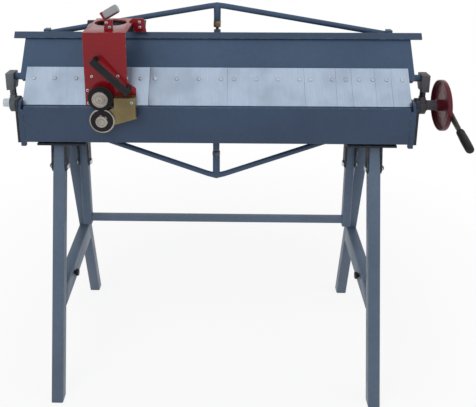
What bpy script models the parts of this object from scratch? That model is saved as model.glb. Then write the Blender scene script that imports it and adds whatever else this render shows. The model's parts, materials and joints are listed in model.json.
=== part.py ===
"""Segmented sheet metal brake on a stand, with a slitting carriage on its clamp beam.

Metres, +Z up, +X to the viewer's right and +Y away from the viewer. The pieces are built round the bend line,
with X from its middle and Y from its edge, and then moved so that the origin is on the floor in the middle of
the machine's length and depth. The leaf, the cams, the links and the carriage are shown clamped and at rest.
"""
import math

import bmesh
import bpy
from mathutils import Matrix, Vector

# Frame of the machine
WORK_LENGTH = 1.300
BEND_HEIGHT = 0.997
LEAN = math.radians(36.5)
GAP = 0.0003
PLAY = 0.0005
OVERLAP = 0.001
MERGE_SHARE = 0.01

# Facets of round pieces
FINE_SIDES = 32
ROUND_SIDES = 24
SMALL_SIDES = 12
SCREW_SIDES = 10
HEX_SIDES = 6

# Clamp segments, left to right, in shares of the working length
SEGMENT_SHARES = (0.2129, 0.1125, 0.2035, 0.1996, 0.0817, 0.0408, 0.0607, 0.0417, 0.0468)
SEGMENT_HEIGHT = 0.137
SEGMENT_THICK = 0.012
SEGMENT_TOP_CHAMFER = 0.002

# Screws of the segments, in shares of half the working length
SCREW_SHARES = (
    -0.957, -0.847, -0.734, -0.617, -0.548, -0.472, -0.396, -0.320, -0.207, -0.0915, 0.0245,
    0.0913, 0.2068, 0.3203, 0.4334, 0.4896, 0.6033, 0.6718, 0.7414, 0.8114, 0.8833, 0.9642,
)
SCREW_RISE = 0.095
SCREW_HEAD_RADIUS = 0.0070
SCREW_HEAD_HIGH = 0.0042
SCREW_RIM_SHARE = 0.4
SCREW_SOCKET_RADIUS = 0.0028
SCREW_SOCKET_DEEP = 0.0024
SCREW_SUNK = 0.001

# Clamp beam: a leaning panel with a foot flange, a top flange and ribs behind it
PANEL_HALF = 0.674
PANEL_THICK = 0.008
PANEL_TOP_RISE = 0.264
BEAM_FOOT_LOW = 1.009
BEAM_FOOT_THICK = 0.008
BEAM_FOOT_BACK = 0.150
BEAM_FLANGE_TOP = 1.180
BEAM_FLANGE_THICK = 0.008
BEAM_FLANGE_BACK = 0.262
BEAM_RIB_THICK = 0.006
BEAM_RIB_PLACE = 0.325
BEAM_INNER_END = 0.648
BEAM_CORNER_RISE = 0.098
BEAM_CORNER_CUT = 0.010
END_PLATE_THICK = 0.010

# Guide rail along the top of the panel
RAIL_HALF = 0.712
RAIL_THICK = 0.0077
RAIL_LOW_RISE = 0.2457
RAIL_TOP_RISE = 0.2705
RAIL_BEVEL = 0.0012

# Trusses: bent tubes with a sleeve in the middle, a stud and a nut
UPPER_TRUSS_Y = 0.237
UPPER_TRUSS_RADIUS = 0.0105
UPPER_APEX = 1.2956
UPPER_TRUSS_END = 0.608
UPPER_TRUSS_END_Z = 1.1912
LOWER_TRUSS_Y = 0.050
LOWER_TRUSS_RADIUS = 0.0100
LOWER_APEX = 0.7160
LOWER_TRUSS_END = 0.620
LOWER_TRUSS_END_Z = 0.9393
TRUSS_BEND_HALF = 0.030
TRUSS_BEND_SAG_SHARE = 0.25
TRUSS_END_BLOCK = 0.020
TRUSS_BLOCK_HALF = 0.015
SLEEVE_RADIUS = 0.0125
STUD_RADIUS = 0.0060
STUD_NUT_RADIUS = 0.0140
UPPER_SLEEVE_LOW = 1.2392
UPPER_NUT_TOP = 1.2389
UPPER_NUT_LOW = 1.2146
UPPER_BOSS_TOP = 1.2054
UPPER_STUD_TOP = 1.2620
UPPER_STUD_LOW = 1.1850
UPPER_BOSS_RADIUS = 0.0125
LOWER_SLEEVE_TOP = 0.7965
LOWER_NUT_LOW = 0.7968
LOWER_NUT_TOP = 0.8123
LOWER_LUG_LOW = 0.8236
LOWER_STUD_LOW = 0.7700
LOWER_STUD_TOP = 0.8400
LOWER_LUG_HALF = 0.011

# Fixed lower beam: the table plate, two webs and ribs
TABLE_FRONT = 0.001
TABLE_BACK = 0.200
TABLE_THICK = 0.008
WEB_THICK = 0.008
FRONT_WEB_Y = 0.014
REAR_WEB_Y = 0.170
BEAM_BOTTOM = 0.856
TABLE_HALF = 0.6485
TABLE_RIB_PLACE = 0.290
TABLE_RIB_THICK = 0.006
TABLE_RIB_LOW = 0.862

# Cam shaft, its bushes and the end cheeks
SHAFT_Y = 0.102
SHAFT_Z = 0.968
SHAFT_RADIUS = 0.010
SHAFT_SHOULDER = 0.689
JOURNAL_RADIUS = 0.006
JOURNAL_LEFT = 0.7470
JOURNAL_RIGHT = 0.8125
BUSH_RADIUS = 0.0145
BUSH_INNER = 0.6490
BUSH_OUTER = 0.6720
RIB_HOLE_RADIUS = 0.0120
CHEEK_INNER = 0.6605
CHEEK_OUTER = 0.6700
CHEEK_FRONT = -0.014
CHEEK_BACK = 0.190
CHEEK_TOP = 0.990
CHEEK_LOW = 0.866
CHEEK_EYE_RADIUS = 0.020
PAD_INNER = 0.6490
PAD_FRONT = 0.030
PAD_BACK = 0.185
PAD_LOW = 0.870
PAD_TOP = 0.986

# Bending leaf
LEAF_HALF = 0.642
LEAF_FRONT = -0.018
LEAF_BACK = -0.0005
LEAF_TOP_DROP = 0.0015
LEAF_THICK = 0.008
LEAF_LOW = 0.8705
ARM_INNER = 0.6505
ARM_OUTER = 0.6600
ARM_STRIP_INNER = 0.6424
ARM_STRIP_TOP = 0.985
ARM_LOW = 0.868
ARM_BACK = 0.004
ARM_EYE_RADIUS = 0.016
ARM_LUG_LOW = 0.855
ARM_LUG_OUTER = 0.6585
ARM_LUG_BACK = -0.004
PIN_RADIUS = 0.006
HINGE_PIN_INNER = 0.6508
HINGE_PIN_OUTER = 0.6750
HINGE_PIN_HEAD_RADIUS = 0.010

# Cam plates with their eccentrics, straps and links
ECCENTRICITY = 0.007
ECCENTRIC_RADIUS = 0.0163
CAM_INNER = 0.6905
CAM_OUTER = 0.7035
ECCENTRIC_OUTER = 0.7240
CAM_HUB_RADIUS = 0.025
LOBE_REACH = 0.054
LOBE_RADIUS = 0.008
STRAP_BORE = 0.019
STRAP_RADIUS = 0.0245
STRAP_INNER = 0.7045
STRAP_OUTER = 0.7235
STRAP_TOP = 0.9997
STRAP_NECK_HALF = 0.011
STRAP_NECK_LOW = 0.981
STRAP_HOLE_LOW = 0.9895
LINK_X = 0.714
BLOCK_INNER = 0.700
BLOCK_OUTER = 0.728
BLOCK_HALF_DEEP = 0.0245
BLOCK_LOW = 1.0217
BLOCK_TOP = 1.0815
BLOCK_CUT_HIGH = 0.020
BLOCK_CUT_WIDE = 0.0038
BLOCK_HOLE_TOP = 1.0460
LUG_PIN_Z = 1.066
LUG_PIN_RADIUS = 0.008
LUG_BOSS_RADIUS = 0.012
LUG_BOSS_OUTER = 0.6996
LUG_PLATE_RADIUS = 0.018
LUG_PIN_INNER = 0.6640
LUG_PIN_HEAD = 0.7284
LUG_PIN_OUTER = 0.7324
LINK_STUD_LOW = 0.9900
LINK_STUD_TOP = 1.0450
LINK_NUT_LOW = 1.0000
LINK_NUT_TOP = 1.0214
LINK_NUT_RADIUS = 0.011

# Outer ends of the cam shaft
WASHER_INNER = 0.7243
WASHER_OUTER = 0.7283
WASHER_RADIUS = 0.0215
END_NUT_OUTER = 0.7500
END_NUT_RADIUS = 0.0165
SLEEVE_OUTER = 0.7640
CAM_SLEEVE_RADIUS = 0.0175
DISC_HUB_INNER = 0.7643
DISC_HUB_OUTER = 0.7935
DISC_HUB_RADIUS = 0.020
DISC_RADIUS = 0.089
DISC_RIM_INNER = 0.7745
DISC_RIM_THICK = 0.003
DISC_WEB_INNER = 0.7865
DISC_WEB_OUTER = 0.7905
LEVER_INNER = 0.7940
LEVER_OUTER = 0.8020
LEVER_DROP = math.radians(15.4)
LEVER_EYE_RADIUS = 0.015
LEVER_HALF_WIDE = 0.010
LEVER_BAR_END = 0.150
LEVER_TANG_END = 0.236
LEVER_TANG_HALF = 0.0045
GRIP_END = 0.250
GRIP_RADIUS = 0.0145
GRIP_NECK_RADIUS = 0.0125
GRIP_ROUND = 0.010
GRIP_SHOULDER_SHARE = 0.85
GRIP_SHOULDER_LOW_SHARE = 0.4
GRIP_TIP_SHARE = 0.5
GRIP_BORE_END = 0.238
LEVER_COLLAR_OUTER = 0.8110
LEVER_COLLAR_RADIUS = 0.012

# Stand
POST = 0.040
POST_WALL = 0.003
POST_X = 0.539
POST_BEVEL = 0.004
POST_TOP = 0.8477
FRONT_TOP_Y = 0.030
FRONT_FOOT_Y = -0.207
REAR_TOP_Y = 0.163
REAR_FOOT_Y = 0.401
BASE_LOW = 0.848
BASE_TOP = 0.8557
BASE_INNER = 0.445
BASE_OUTER = 0.612
BASE_FRONT = 0.004
BASE_BACK = 0.215
LUG_THICK = 0.005
LUG_LOW = 0.757
LUG_HALF_WIDE = 0.026
LUG_WAIST_SHARE = 0.8
LUG_FOOT_SHARE = 0.5
HANG_X = 0.476
HANG_Y = 0.100
HANG_POST = 0.030
HANG_LOW = 0.500
HANG_BEVEL = 0.003
HANG_LUG_LOW = 0.735
HANG_LUG_HALF_WIDE = 0.019
HANG_LUG_FOOT_SHARE = 0.6
TIE_SIZE = 0.022
TIE_LOW = 0.512
STAND_BOLT_RADIUS = 0.006
STAND_BOLT_Z = 0.772
HANG_BOLT_Z = 0.747
BOLT_HEAD_RADIUS = 0.010
BOLT_HEAD_HIGH = 0.0055
BOLT_TAIL = 0.004
BRACE_WALL = 0.003
BRACE_LOW_FRONT = 0.295
BRACE_LOW_REAR = 0.318
BRACE_HIGH = 0.068
KNOB_Y = 0.020
KNOB_Z = 0.341
KNOB_RADIUS = 0.0125
KNOB_HIGH = 0.016
KNOB_NECK_RADIUS = 0.007
KNOB_NECK_HIGH = 0.005
KNOB_STUD_RADIUS = 0.004

# Slitting carriage
SHEET = 0.006
CAR_LEFT = -0.430
CAR_RIGHT = -0.290
CAR_FRONT = -0.022
CAR_BACK = 0.214
CAR_TOP = 1.250
CAR_LOW = 1.003
WING_X = -0.262
WING_LOW = 1.035
WING_HIGH = 1.063
WING_TOP = 1.085
CAR_HOLE_X = -0.366
CAR_HOLE_Y = 0.138
CAR_HOLE_RADIUS = 0.055
SIDE_PLATE_FRONT = 0.1465
SIDE_PLATE_LEFT = -0.308
SIDE_PLATE_KNEE = -0.291
SIDE_PLATE_RIGHT_TOP = -0.2525
SIDE_PLATE_RIGHT_LOW = -0.2452
SIDE_PLATE_TOP = 1.2630
SIDE_PLATE_LOW = 1.2140
STAND_OFF_FRONT = 0.004
STAND_OFF_BACK = 0.018
STAND_OFF_LEFT = -0.364
STAND_OFF_RIGHT = -0.335
STAND_OFF_SHELF = 1.286
KNURL_X = -0.3530
KNURL_TILT = math.radians(30.0)
KNURL_RADIUS = 0.0150
KNURL_LONG = 0.050
KNURL_ARM_HIGH = 0.030
KNURL_ARM_THICK = 0.009
KNURL_SPINDLE_RADIUS = 0.004
KNURL_SPINDLE_DEEP = 0.006
KNURL_BEVEL = 0.002
HANDLE_Y = -0.070
HANDLE_HIGH_X = -0.395
HANDLE_HIGH_Z = 1.170
HANDLE_LOW_X = -0.279
HANDLE_LOW_Z = 1.0595
HANDLE_RADIUS = 0.0115
HANDLE_STUB_RADIUS = 0.0075
HANDLE_END_SHARE = 0.06
HANDLE_ROUND = 0.005
KNIFE_X = -0.374
UPPER_KNIFE_Z = 1.037
LOWER_KNIFE_Z = 0.958
KNIFE_RADIUS = 0.042
KNIFE_EDGE = 0.0015
UPPER_KNIFE_FRONT = -0.0521
UPPER_KNIFE_BACK = -0.0471
UPPER_HUB_FRONT = -0.0645
UPPER_HUB_RADIUS = 0.026
UPPER_HUB_DISH = 0.003
UPPER_HUB_DISH_SHARE = 0.7
SPINDLE_RADIUS = 0.008
SPINDLE_BOSS_RADIUS = 0.016
UPPER_SPINDLE_END = -0.0600
LOWER_KNIFE_FRONT = -0.0468
LOWER_KNIFE_BACK = -0.0418
LOWER_NUT_FRONT = -0.0570
LOWER_NUT_RADIUS = 0.0205
LOWER_SPINDLE_END = -0.0530
ARM_PLATE_FRONT = -0.0405
ARM_PLATE_BACK = -0.0305
ARM_HUB_RADIUS = 0.018
CARRIER_LEFT = -0.3300
CARRIER_RIGHT = -0.2605
CARRIER_FRONT = -0.058
CARRIER_TOP = 1.0405
CARRIER_STEP = 1.0045
TONGUE_LEFT_LOW = 0.9932
TONGUE_RIGHT_LOW = 0.9717
ARM_LEFT_LOW = 0.9430
ARM_RIGHT_LOW = 0.9640

# Saddle and rollers that run on the rail
ROLLER_TREAD_RADIUS = 0.014
ROLLER_FLANGE_RADIUS = 0.0175
ROLLER_GROOVE = 0.0083
ROLLER_FLANGE = 0.0025
ROLLER_BORE = 0.0042
ROLLER_LEFT_X = -0.440
ROLLER_RIGHT_X = -0.275
SADDLE_LEFT = -0.462
SADDLE_RIGHT = -0.253
SADDLE_SHEET = 0.005
SADDLE_OFFSET = 0.0155
SADDLE_LOW_RISE = 0.2725
SADDLE_TOP = 1.2437
SADDLE_BACK = 0.212
AXLE_RADIUS = 0.0039
AXLE_HEAD_RADIUS = 0.0070
AXLE_HEAD_HIGH = 0.003

# Small white screws of the carriage
WHITE_HEAD_RADIUS = 0.0052
WHITE_HEAD_HIGH = 0.0030
WHITE_SUNK = 0.001
WHITE_RIM_SHARE = 0.35
WHITE_TOP_SHARE = 0.75
# Their places, X and Z, on the front plate, the stand-off, the side plate and the knife carrier
FRONT_SCREWS = ((-0.4050, 1.1035), (-0.3195, 1.1050), (-0.4210, 1.0560), (-0.4205, 1.0120))
STAND_OFF_SCREWS = ((-0.3540, 1.2770), (-0.3445, 1.2620))
SIDE_PLATE_SCREWS = ((-0.2685, 1.2500), (-0.2674, 1.2318))
CARRIER_SCREWS = ((-0.2720, 1.0260),)

FRAME_BLUE = (0.085, 0.125, 0.180)
BEAM_BLUE = (0.090, 0.135, 0.200)
ZINC = (0.42, 0.48, 0.53)
STEEL = (0.30, 0.32, 0.34)
DARK_STEEL = (0.10, 0.11, 0.12)
CARRIAGE_RED = (0.24, 0.010, 0.018)
DISC_RED = (0.11, 0.012, 0.025)
BLACK = (0.012, 0.012, 0.013)
YELLOW_ZINC = (0.26, 0.20, 0.08)
LINK_GREY = (0.16, 0.165, 0.17)
BRONZE = (0.30, 0.22, 0.13)


def clear_scene():
    """Take out whatever the file holds."""
    for item in list(bpy.data.objects):
        bpy.data.objects.remove(item, do_unlink=True)
    for mesh in list(bpy.data.meshes):
        bpy.data.meshes.remove(mesh)


def paint(name, colour, metallic, roughness):
    """A material with one Principled shader."""
    material = bpy.data.materials.new(name)
    material.use_nodes = True
    shader = material.node_tree.nodes["Principled BSDF"]
    shader.inputs["Base Color"].default_value = (*colour, 1.0)
    shader.inputs["Metallic"].default_value = metallic
    shader.inputs["Roughness"].default_value = roughness
    return material


def place(axis, along, first, second):
    """World point for a distance along an axis and the two other coordinates in X, Y, Z order."""
    if axis == "X":
        return Vector((along, first, second))
    if axis == "Y":
        return Vector((first, along, second))
    return Vector((first, second, along))


def prism(outline, axis, start, end):
    """A closed outline extruded along a world axis."""
    shape = bmesh.new()
    corners = [shape.verts.new(place(axis, start, first, second)) for first, second in outline]
    face = shape.faces.new(corners)
    grown = bmesh.ops.extrude_face_region(shape, geom=[face])
    moved = [item for item in grown["geom"] if isinstance(item, bmesh.types.BMVert)]
    bmesh.ops.translate(shape, verts=moved, vec=place(axis, end - start, 0.0, 0.0))
    bmesh.ops.recalc_face_normals(shape, faces=shape.faces)
    return shape


def box(low, high):
    """A box between two corners."""
    outline = ((low[0], low[1]), (high[0], low[1]), (high[0], high[1]), (low[0], high[1]))
    return prism(outline, "Z", low[2], high[2])


def lean_point(rise, depth):
    """Y and Z of a point up the leaning face by rise and behind it by depth."""
    y = rise * math.sin(LEAN) + depth * math.cos(LEAN)
    z = BEND_HEIGHT + rise * math.cos(LEAN) - depth * math.sin(LEAN)
    return y, z


def lean_at_height(height, depth):
    """Y and Z where the plane behind the leaning face by depth reaches a height."""
    rise = (height - BEND_HEIGHT + depth * math.sin(LEAN)) / math.cos(LEAN)
    return lean_point(rise, depth)


def aim(shape, point, direction):
    """Turn a shape made along +Z to a direction and move it to a point."""
    turn = Vector((0.0, 0.0, 1.0)).rotation_difference(Vector(direction)).to_matrix().to_4x4()
    bmesh.ops.transform(shape, matrix=Matrix.Translation(Vector(point)) @ turn, verts=shape.verts)
    return shape


def turned(profile, sides, point, direction):
    """A closed profile of radius and height pairs turned round an axis; sides on the axis are left out."""
    shape = bmesh.new()
    verts = [shape.verts.new((radius, 0.0, height)) for radius, height in profile]
    pairs = zip(verts, verts[1:] + verts[:1])
    edges = [shape.edges.new(pair) for pair in pairs if max(pair[0].co.x, pair[1].co.x) > 0.0]
    bmesh.ops.spin(
        shape, geom=verts + edges, cent=(0.0, 0.0, 0.0), axis=(0.0, 0.0, 1.0),
        angle=math.tau, steps=sides, use_merge=True,
    )
    bmesh.ops.remove_doubles(shape, verts=shape.verts, dist=GAP * MERGE_SHARE)
    centres = [vert for vert in shape.verts if math.hypot(vert.co.x, vert.co.y) < GAP * MERGE_SHARE]
    bmesh.ops.dissolve_verts(shape, verts=centres)
    bmesh.ops.recalc_face_normals(shape, faces=shape.faces)
    return aim(shape, point, direction)


def rod(point, direction, radius, length, sides=SMALL_SIDES):
    """A plain round bar from a point."""
    return turned(((0.0, 0.0), (radius, 0.0), (radius, length), (0.0, length)), sides, point, direction)


def x_rod(x_start, x_end, y, z, radius, sides=SMALL_SIDES):
    """A round bar along X."""
    return rod((x_start, y, z), (1.0, 0.0, 0.0), radius, x_end - x_start, sides)


def arc(centre, radius, start, end, steps):
    """Points on an arc, angles in radians."""
    points = []
    for step in range(steps + 1):
        angle = start + (end - start) * step / steps
        points.append((centre[0] + radius * math.cos(angle), centre[1] + radius * math.sin(angle)))
    return points


def belt(centre_a, radius_a, centre_b, radius_b, steps):
    """Outline round two circles, with straight sides between them."""
    run = Vector(centre_b) - Vector(centre_a)
    heading = math.atan2(run.y, run.x)
    spread = math.acos((radius_a - radius_b) / run.length)
    far = arc(centre_b, radius_b, heading - spread, heading + spread, steps)
    near = arc(centre_a, radius_a, heading + spread, heading - spread + math.tau, steps)
    return far + near


def mirrored(shape):
    """The same shape on the other side of the middle plane."""
    bmesh.ops.scale(shape, vec=(-1.0, 1.0, 1.0), verts=shape.verts)
    bmesh.ops.reverse_faces(shape, faces=shape.faces)
    return shape


def bevelled(shape, width, steps, chosen):
    """Bevel the edges that a test picks."""
    edges = [edge for edge in shape.edges if chosen(edge)]
    bmesh.ops.bevel(
        shape, geom=edges, offset=width, offset_type="OFFSET", segments=steps, profile=0.5,
        affect="EDGES", material=-1, clamp_overlap=True,
    )
    return shape


def runs_along(axis):
    """A test for edges parallel to a world axis."""
    def test(edge):
        run = edge.verts[1].co - edge.verts[0].co
        return abs(run[axis]) > run.length * 0.999
    return test


def to_object(name, shape):
    """Make an object from a shape that is built in world coordinates."""
    mesh = bpy.data.meshes.new(name)
    shape.to_mesh(mesh)
    shape.free()
    item = bpy.data.objects.new(name, mesh)
    bpy.context.scene.collection.objects.link(item)
    return item


def combined(item, shapes, operation):
    """Union or difference with a list of shapes, applied at once."""
    tools = []
    for number, shape in enumerate(shapes):
        tool = to_object(f"{item.name}_tool_{number}", shape)
        modifier = item.modifiers.new(f"tool_{number}", "BOOLEAN")
        modifier.operation = operation
        modifier.solver = "EXACT"
        modifier.object = tool
        tools.append(tool)
    bpy.context.view_layer.update()
    graph = bpy.context.evaluated_depsgraph_get()
    result = bpy.data.meshes.new_from_object(item.evaluated_get(graph))
    item.modifiers.clear()
    item.data = result
    for tool in tools:
        bpy.data.objects.remove(tool, do_unlink=True)
    return item


def piece(name, shapes, material, cuts=(), parent=None):
    """One named sub-part: shapes united, with cuts taken out."""
    item = to_object(name, shapes[0])
    if len(shapes) > 1:
        combined(item, shapes[1:], "UNION")
    if cuts:
        combined(item, cuts, "DIFFERENCE")
    item.data.name = name
    item.data.materials.clear()
    item.data.materials.append(material)
    item.data.shade_smooth()
    item.data.set_sharp_from_angle(angle=math.radians(32.0))
    if parent is not None:
        bpy.context.view_layer.update()
        item.parent = parent
        item.matrix_parent_inverse = parent.matrix_world.inverted()
    return item


def pivot(name, point, parent=None):
    """An empty on a joint's axis."""
    item = bpy.data.objects.new(name, None)
    item.location = point
    bpy.context.scene.collection.objects.link(item)
    bpy.context.view_layer.update()
    if parent is not None:
        item.parent = parent
        item.matrix_parent_inverse = parent.matrix_world.inverted()
        bpy.context.view_layer.update()
    return item


def hexagon(point, direction, radius, length):
    """A hexagonal bar, radius over its corners."""
    return rod(point, direction, radius, length, HEX_SIDES)


def post_line(foot_y, top_y, height):
    """Y of a slanted post's centre line at a height."""
    return foot_y + (top_y - foot_y) * height / POST_TOP


def slanted_post(foot_y, top_y):
    """A square tube from the floor to the base plate, cut level at both ends and closed at the foot."""
    half = POST / 2.0
    lean = math.cos(math.atan2(abs(top_y - foot_y), POST_TOP))
    half_deep = half / lean
    outline = (
        (foot_y - half_deep, 0.0), (foot_y + half_deep, 0.0),
        (top_y + half_deep, POST_TOP), (top_y - half_deep, POST_TOP),
    )
    outer = prism(outline, "X", POST_X - half, POST_X + half)

    def long_edge(edge):
        run = edge.verts[1].co - edge.verts[0].co
        return abs(run.z) > run.length * 0.9

    bevelled(outer, POST_BEVEL, 2, long_edge)
    low = POST_WALL
    high = POST_TOP + POST_WALL
    inner_half = half - POST_WALL
    inner_deep = inner_half / lean
    low_y = post_line(foot_y, top_y, low)
    high_y = post_line(foot_y, top_y, high)
    inner = prism(
        (
            (low_y - inner_deep, low), (low_y + inner_deep, low),
            (high_y + inner_deep, high), (high_y - inner_deep, high),
        ),
        "X", POST_X - inner_half, POST_X + inner_half,
    )
    return outer, inner


def cross_bolt(inner_x, outer_x, y, z):
    """A bolt along X through two lugs, with its head and its nut drawn tight against them."""
    inner = inner_x - BOLT_HEAD_HIGH
    outer = outer_x + BOLT_HEAD_HIGH
    profile = (
        (0.0, 0.0), (BOLT_HEAD_RADIUS, 0.0), (BOLT_HEAD_RADIUS, inner_x - inner + OVERLAP),
        (STAND_BOLT_RADIUS, inner_x - inner + OVERLAP), (STAND_BOLT_RADIUS, outer_x - inner - OVERLAP),
        (BOLT_HEAD_RADIUS, outer_x - inner - OVERLAP), (BOLT_HEAD_RADIUS, outer - inner),
        (STAND_BOLT_RADIUS, outer - inner), (STAND_BOLT_RADIUS, outer - inner + BOLT_TAIL),
        (0.0, outer - inner + BOLT_TAIL),
    )
    return turned(profile, SMALL_SIDES, (inner, y, z), (1.0, 0.0, 0.0))


def build_stand(paints):
    """Posts, legs, braces, base plates, the hanging frame and their fasteners."""
    blue = paints["frame"]
    half = POST / 2.0
    bolt_hole = STAND_BOLT_RADIUS + GAP
    front_bolt_y = post_line(FRONT_FOOT_Y, FRONT_TOP_Y, STAND_BOLT_Z)
    rear_bolt_y = post_line(REAR_FOOT_Y, REAR_TOP_Y, STAND_BOLT_Z)
    lug_inner = POST_X - half - GAP - LUG_THICK
    lug_outer = POST_X + half + GAP + LUG_THICK
    lug_waist = LUG_HALF_WIDE * LUG_WAIST_SHARE
    lug_foot = LUG_HALF_WIDE * LUG_FOOT_SHARE
    hang_lug_foot = HANG_LUG_HALF_WIDE * HANG_LUG_FOOT_SHARE
    hang_half = HANG_POST / 2.0
    hang_lug_inner = HANG_X - hang_half - GAP - LUG_THICK
    hang_lug_outer = HANG_X + hang_half + GAP + LUG_THICK

    def through(y, z):
        return x_rod(BASE_INNER, BASE_OUTER, y, z, bolt_hole)

    def both(shapes, side):
        return shapes if side > 0 else [mirrored(shape) for shape in shapes]

    for side, label in ((-1, "left"), (1, "right")):
        for foot_y, top_y, bolt_y, name in (
            (FRONT_FOOT_Y, FRONT_TOP_Y, front_bolt_y, "front_post"),
            (REAR_FOOT_Y, REAR_TOP_Y, rear_bolt_y, "rear_leg"),
        ):
            outer, inner = slanted_post(foot_y, top_y)
            piece(
                f"{name}_{label}", both([outer], side), blue,
                cuts=both([inner, through(bolt_y, STAND_BOLT_Z)], side),
            )

        shapes = [box((BASE_INNER, BASE_FRONT, BASE_LOW), (BASE_OUTER, BASE_BACK, BASE_TOP))]
        for bolt_y, top_y in ((front_bolt_y, FRONT_TOP_Y), (rear_bolt_y, REAR_TOP_Y)):
            outline = (
                (top_y - LUG_HALF_WIDE, BASE_LOW + OVERLAP), (top_y + LUG_HALF_WIDE, BASE_LOW + OVERLAP),
                (bolt_y + lug_waist, STAND_BOLT_Z), (bolt_y + lug_foot, LUG_LOW),
                (bolt_y - lug_foot, LUG_LOW), (bolt_y - lug_waist, STAND_BOLT_Z),
            )
            shapes.append(prism(outline, "X", lug_inner, lug_inner + LUG_THICK))
            shapes.append(prism(outline, "X", lug_outer - LUG_THICK, lug_outer))
        outline = (
            (HANG_Y - HANG_LUG_HALF_WIDE, BASE_LOW + OVERLAP),
            (HANG_Y + HANG_LUG_HALF_WIDE, BASE_LOW + OVERLAP),
            (HANG_Y + HANG_LUG_HALF_WIDE, HANG_BOLT_Z), (HANG_Y + hang_lug_foot, HANG_LUG_LOW),
            (HANG_Y - hang_lug_foot, HANG_LUG_LOW), (HANG_Y - HANG_LUG_HALF_WIDE, HANG_BOLT_Z),
        )
        shapes.append(prism(outline, "X", hang_lug_inner, hang_lug_inner + LUG_THICK))
        shapes.append(prism(outline, "X", hang_lug_outer - LUG_THICK, hang_lug_outer))
        shapes.append(cross_bolt(lug_inner, lug_outer, front_bolt_y, STAND_BOLT_Z))
        shapes.append(cross_bolt(lug_inner, lug_outer, rear_bolt_y, STAND_BOLT_Z))
        shapes.append(cross_bolt(hang_lug_inner, hang_lug_outer, HANG_Y, HANG_BOLT_Z))
        piece(f"base_plate_{label}", both(shapes, side), paints["dark"])

        # The brace is an inverted channel between the front post and the rear leg
        slope = (BRACE_LOW_REAR - BRACE_LOW_FRONT) / (REAR_FOOT_Y - FRONT_FOOT_Y)
        foot_half = half / math.cos(math.atan2(FRONT_TOP_Y - FRONT_FOOT_Y, POST_TOP))
        front_low = post_line(FRONT_FOOT_Y, FRONT_TOP_Y, BRACE_LOW_FRONT) + foot_half + GAP * 2.0
        front_high = post_line(FRONT_FOOT_Y, FRONT_TOP_Y, BRACE_LOW_FRONT + BRACE_HIGH) + foot_half + GAP * 2.0
        rear_low = post_line(REAR_FOOT_Y, REAR_TOP_Y, BRACE_LOW_REAR) - foot_half - GAP * 2.0
        rear_high = post_line(REAR_FOOT_Y, REAR_TOP_Y, BRACE_LOW_REAR + BRACE_HIGH) - foot_half - GAP * 2.0
        outline = (
            (front_low, BRACE_LOW_FRONT), (rear_low, BRACE_LOW_REAR),
            (rear_high, BRACE_LOW_REAR + BRACE_HIGH), (front_high, BRACE_LOW_FRONT + BRACE_HIGH),
        )
        brace = bevelled(
            prism(outline, "X", POST_X - half, POST_X + half), POST_BEVEL, 2,
            lambda edge: min(v.co.z for v in edge.verts) > BRACE_LOW_REAR + OVERLAP
            and abs((edge.verts[1].co - edge.verts[0].co).y) > POST,
        )
        reach = POST
        hollow = (
            (front_low - reach, BRACE_LOW_FRONT - slope * reach - BRACE_WALL),
            (rear_low + reach, BRACE_LOW_REAR + slope * reach - BRACE_WALL),
            (rear_low + reach, BRACE_LOW_REAR + slope * reach + BRACE_HIGH - BRACE_WALL),
            (front_low - reach, BRACE_LOW_FRONT - slope * reach + BRACE_HIGH - BRACE_WALL),
        )
        inside = prism(hollow, "X", POST_X - half + BRACE_WALL, POST_X + half - BRACE_WALL)
        stud_hole = x_rod(
            POST_X - half - BRACE_WALL, POST_X - half + BRACE_WALL * 2.0, KNOB_Y, KNOB_Z,
            KNOB_STUD_RADIUS + GAP,
        )
        piece(f"brace_{label}", both([brace], side), blue, cuts=both([inside, stud_hole], side))

    # Uprights and tie bar of the hanging frame, welded into one
    ends = []
    holes = []
    for side in (-1, 1):
        upright = box(
            (HANG_X - hang_half, HANG_Y - hang_half, HANG_LOW),
            (HANG_X + hang_half, HANG_Y + hang_half, POST_TOP),
        )
        bevelled(upright, HANG_BEVEL, 2, runs_along(2))
        bore = box(
            (HANG_X - hang_half + POST_WALL, HANG_Y - hang_half + POST_WALL, HANG_LOW - POST_WALL),
            (HANG_X + hang_half - POST_WALL, HANG_Y + hang_half - POST_WALL, POST_TOP + POST_WALL),
        )
        ends += both([upright], side)
        holes += both([bore, through(HANG_Y, HANG_BOLT_Z)], side)
    tie_half = TIE_SIZE / 2.0
    bar_end = HANG_X - hang_half + POST_WALL / 2.0
    tie = box((-bar_end, HANG_Y - tie_half, TIE_LOW), (bar_end, HANG_Y + tie_half, TIE_LOW + TIE_SIZE))
    piece("hanging_frame", ends + [tie], blue, cuts=holes)

    face = POST_X - half - GAP
    profile = (
        (0.0, -BRACE_WALL * 2.0), (KNOB_STUD_RADIUS, -BRACE_WALL * 2.0), (KNOB_STUD_RADIUS, 0.0),
        (KNOB_NECK_RADIUS, 0.0), (KNOB_NECK_RADIUS, KNOB_NECK_HIGH), (KNOB_RADIUS, KNOB_NECK_HIGH),
        (KNOB_RADIUS, KNOB_HIGH), (0.0, KNOB_HIGH),
    )
    for side, label in ((-1, "left"), (1, "right")):
        knob = turned(profile, SMALL_SIDES, (face, KNOB_Y, KNOB_Z), (-1.0, 0.0, 0.0))
        piece(f"brace_knob_{label}", both([knob], side), paints["black"])


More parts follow.
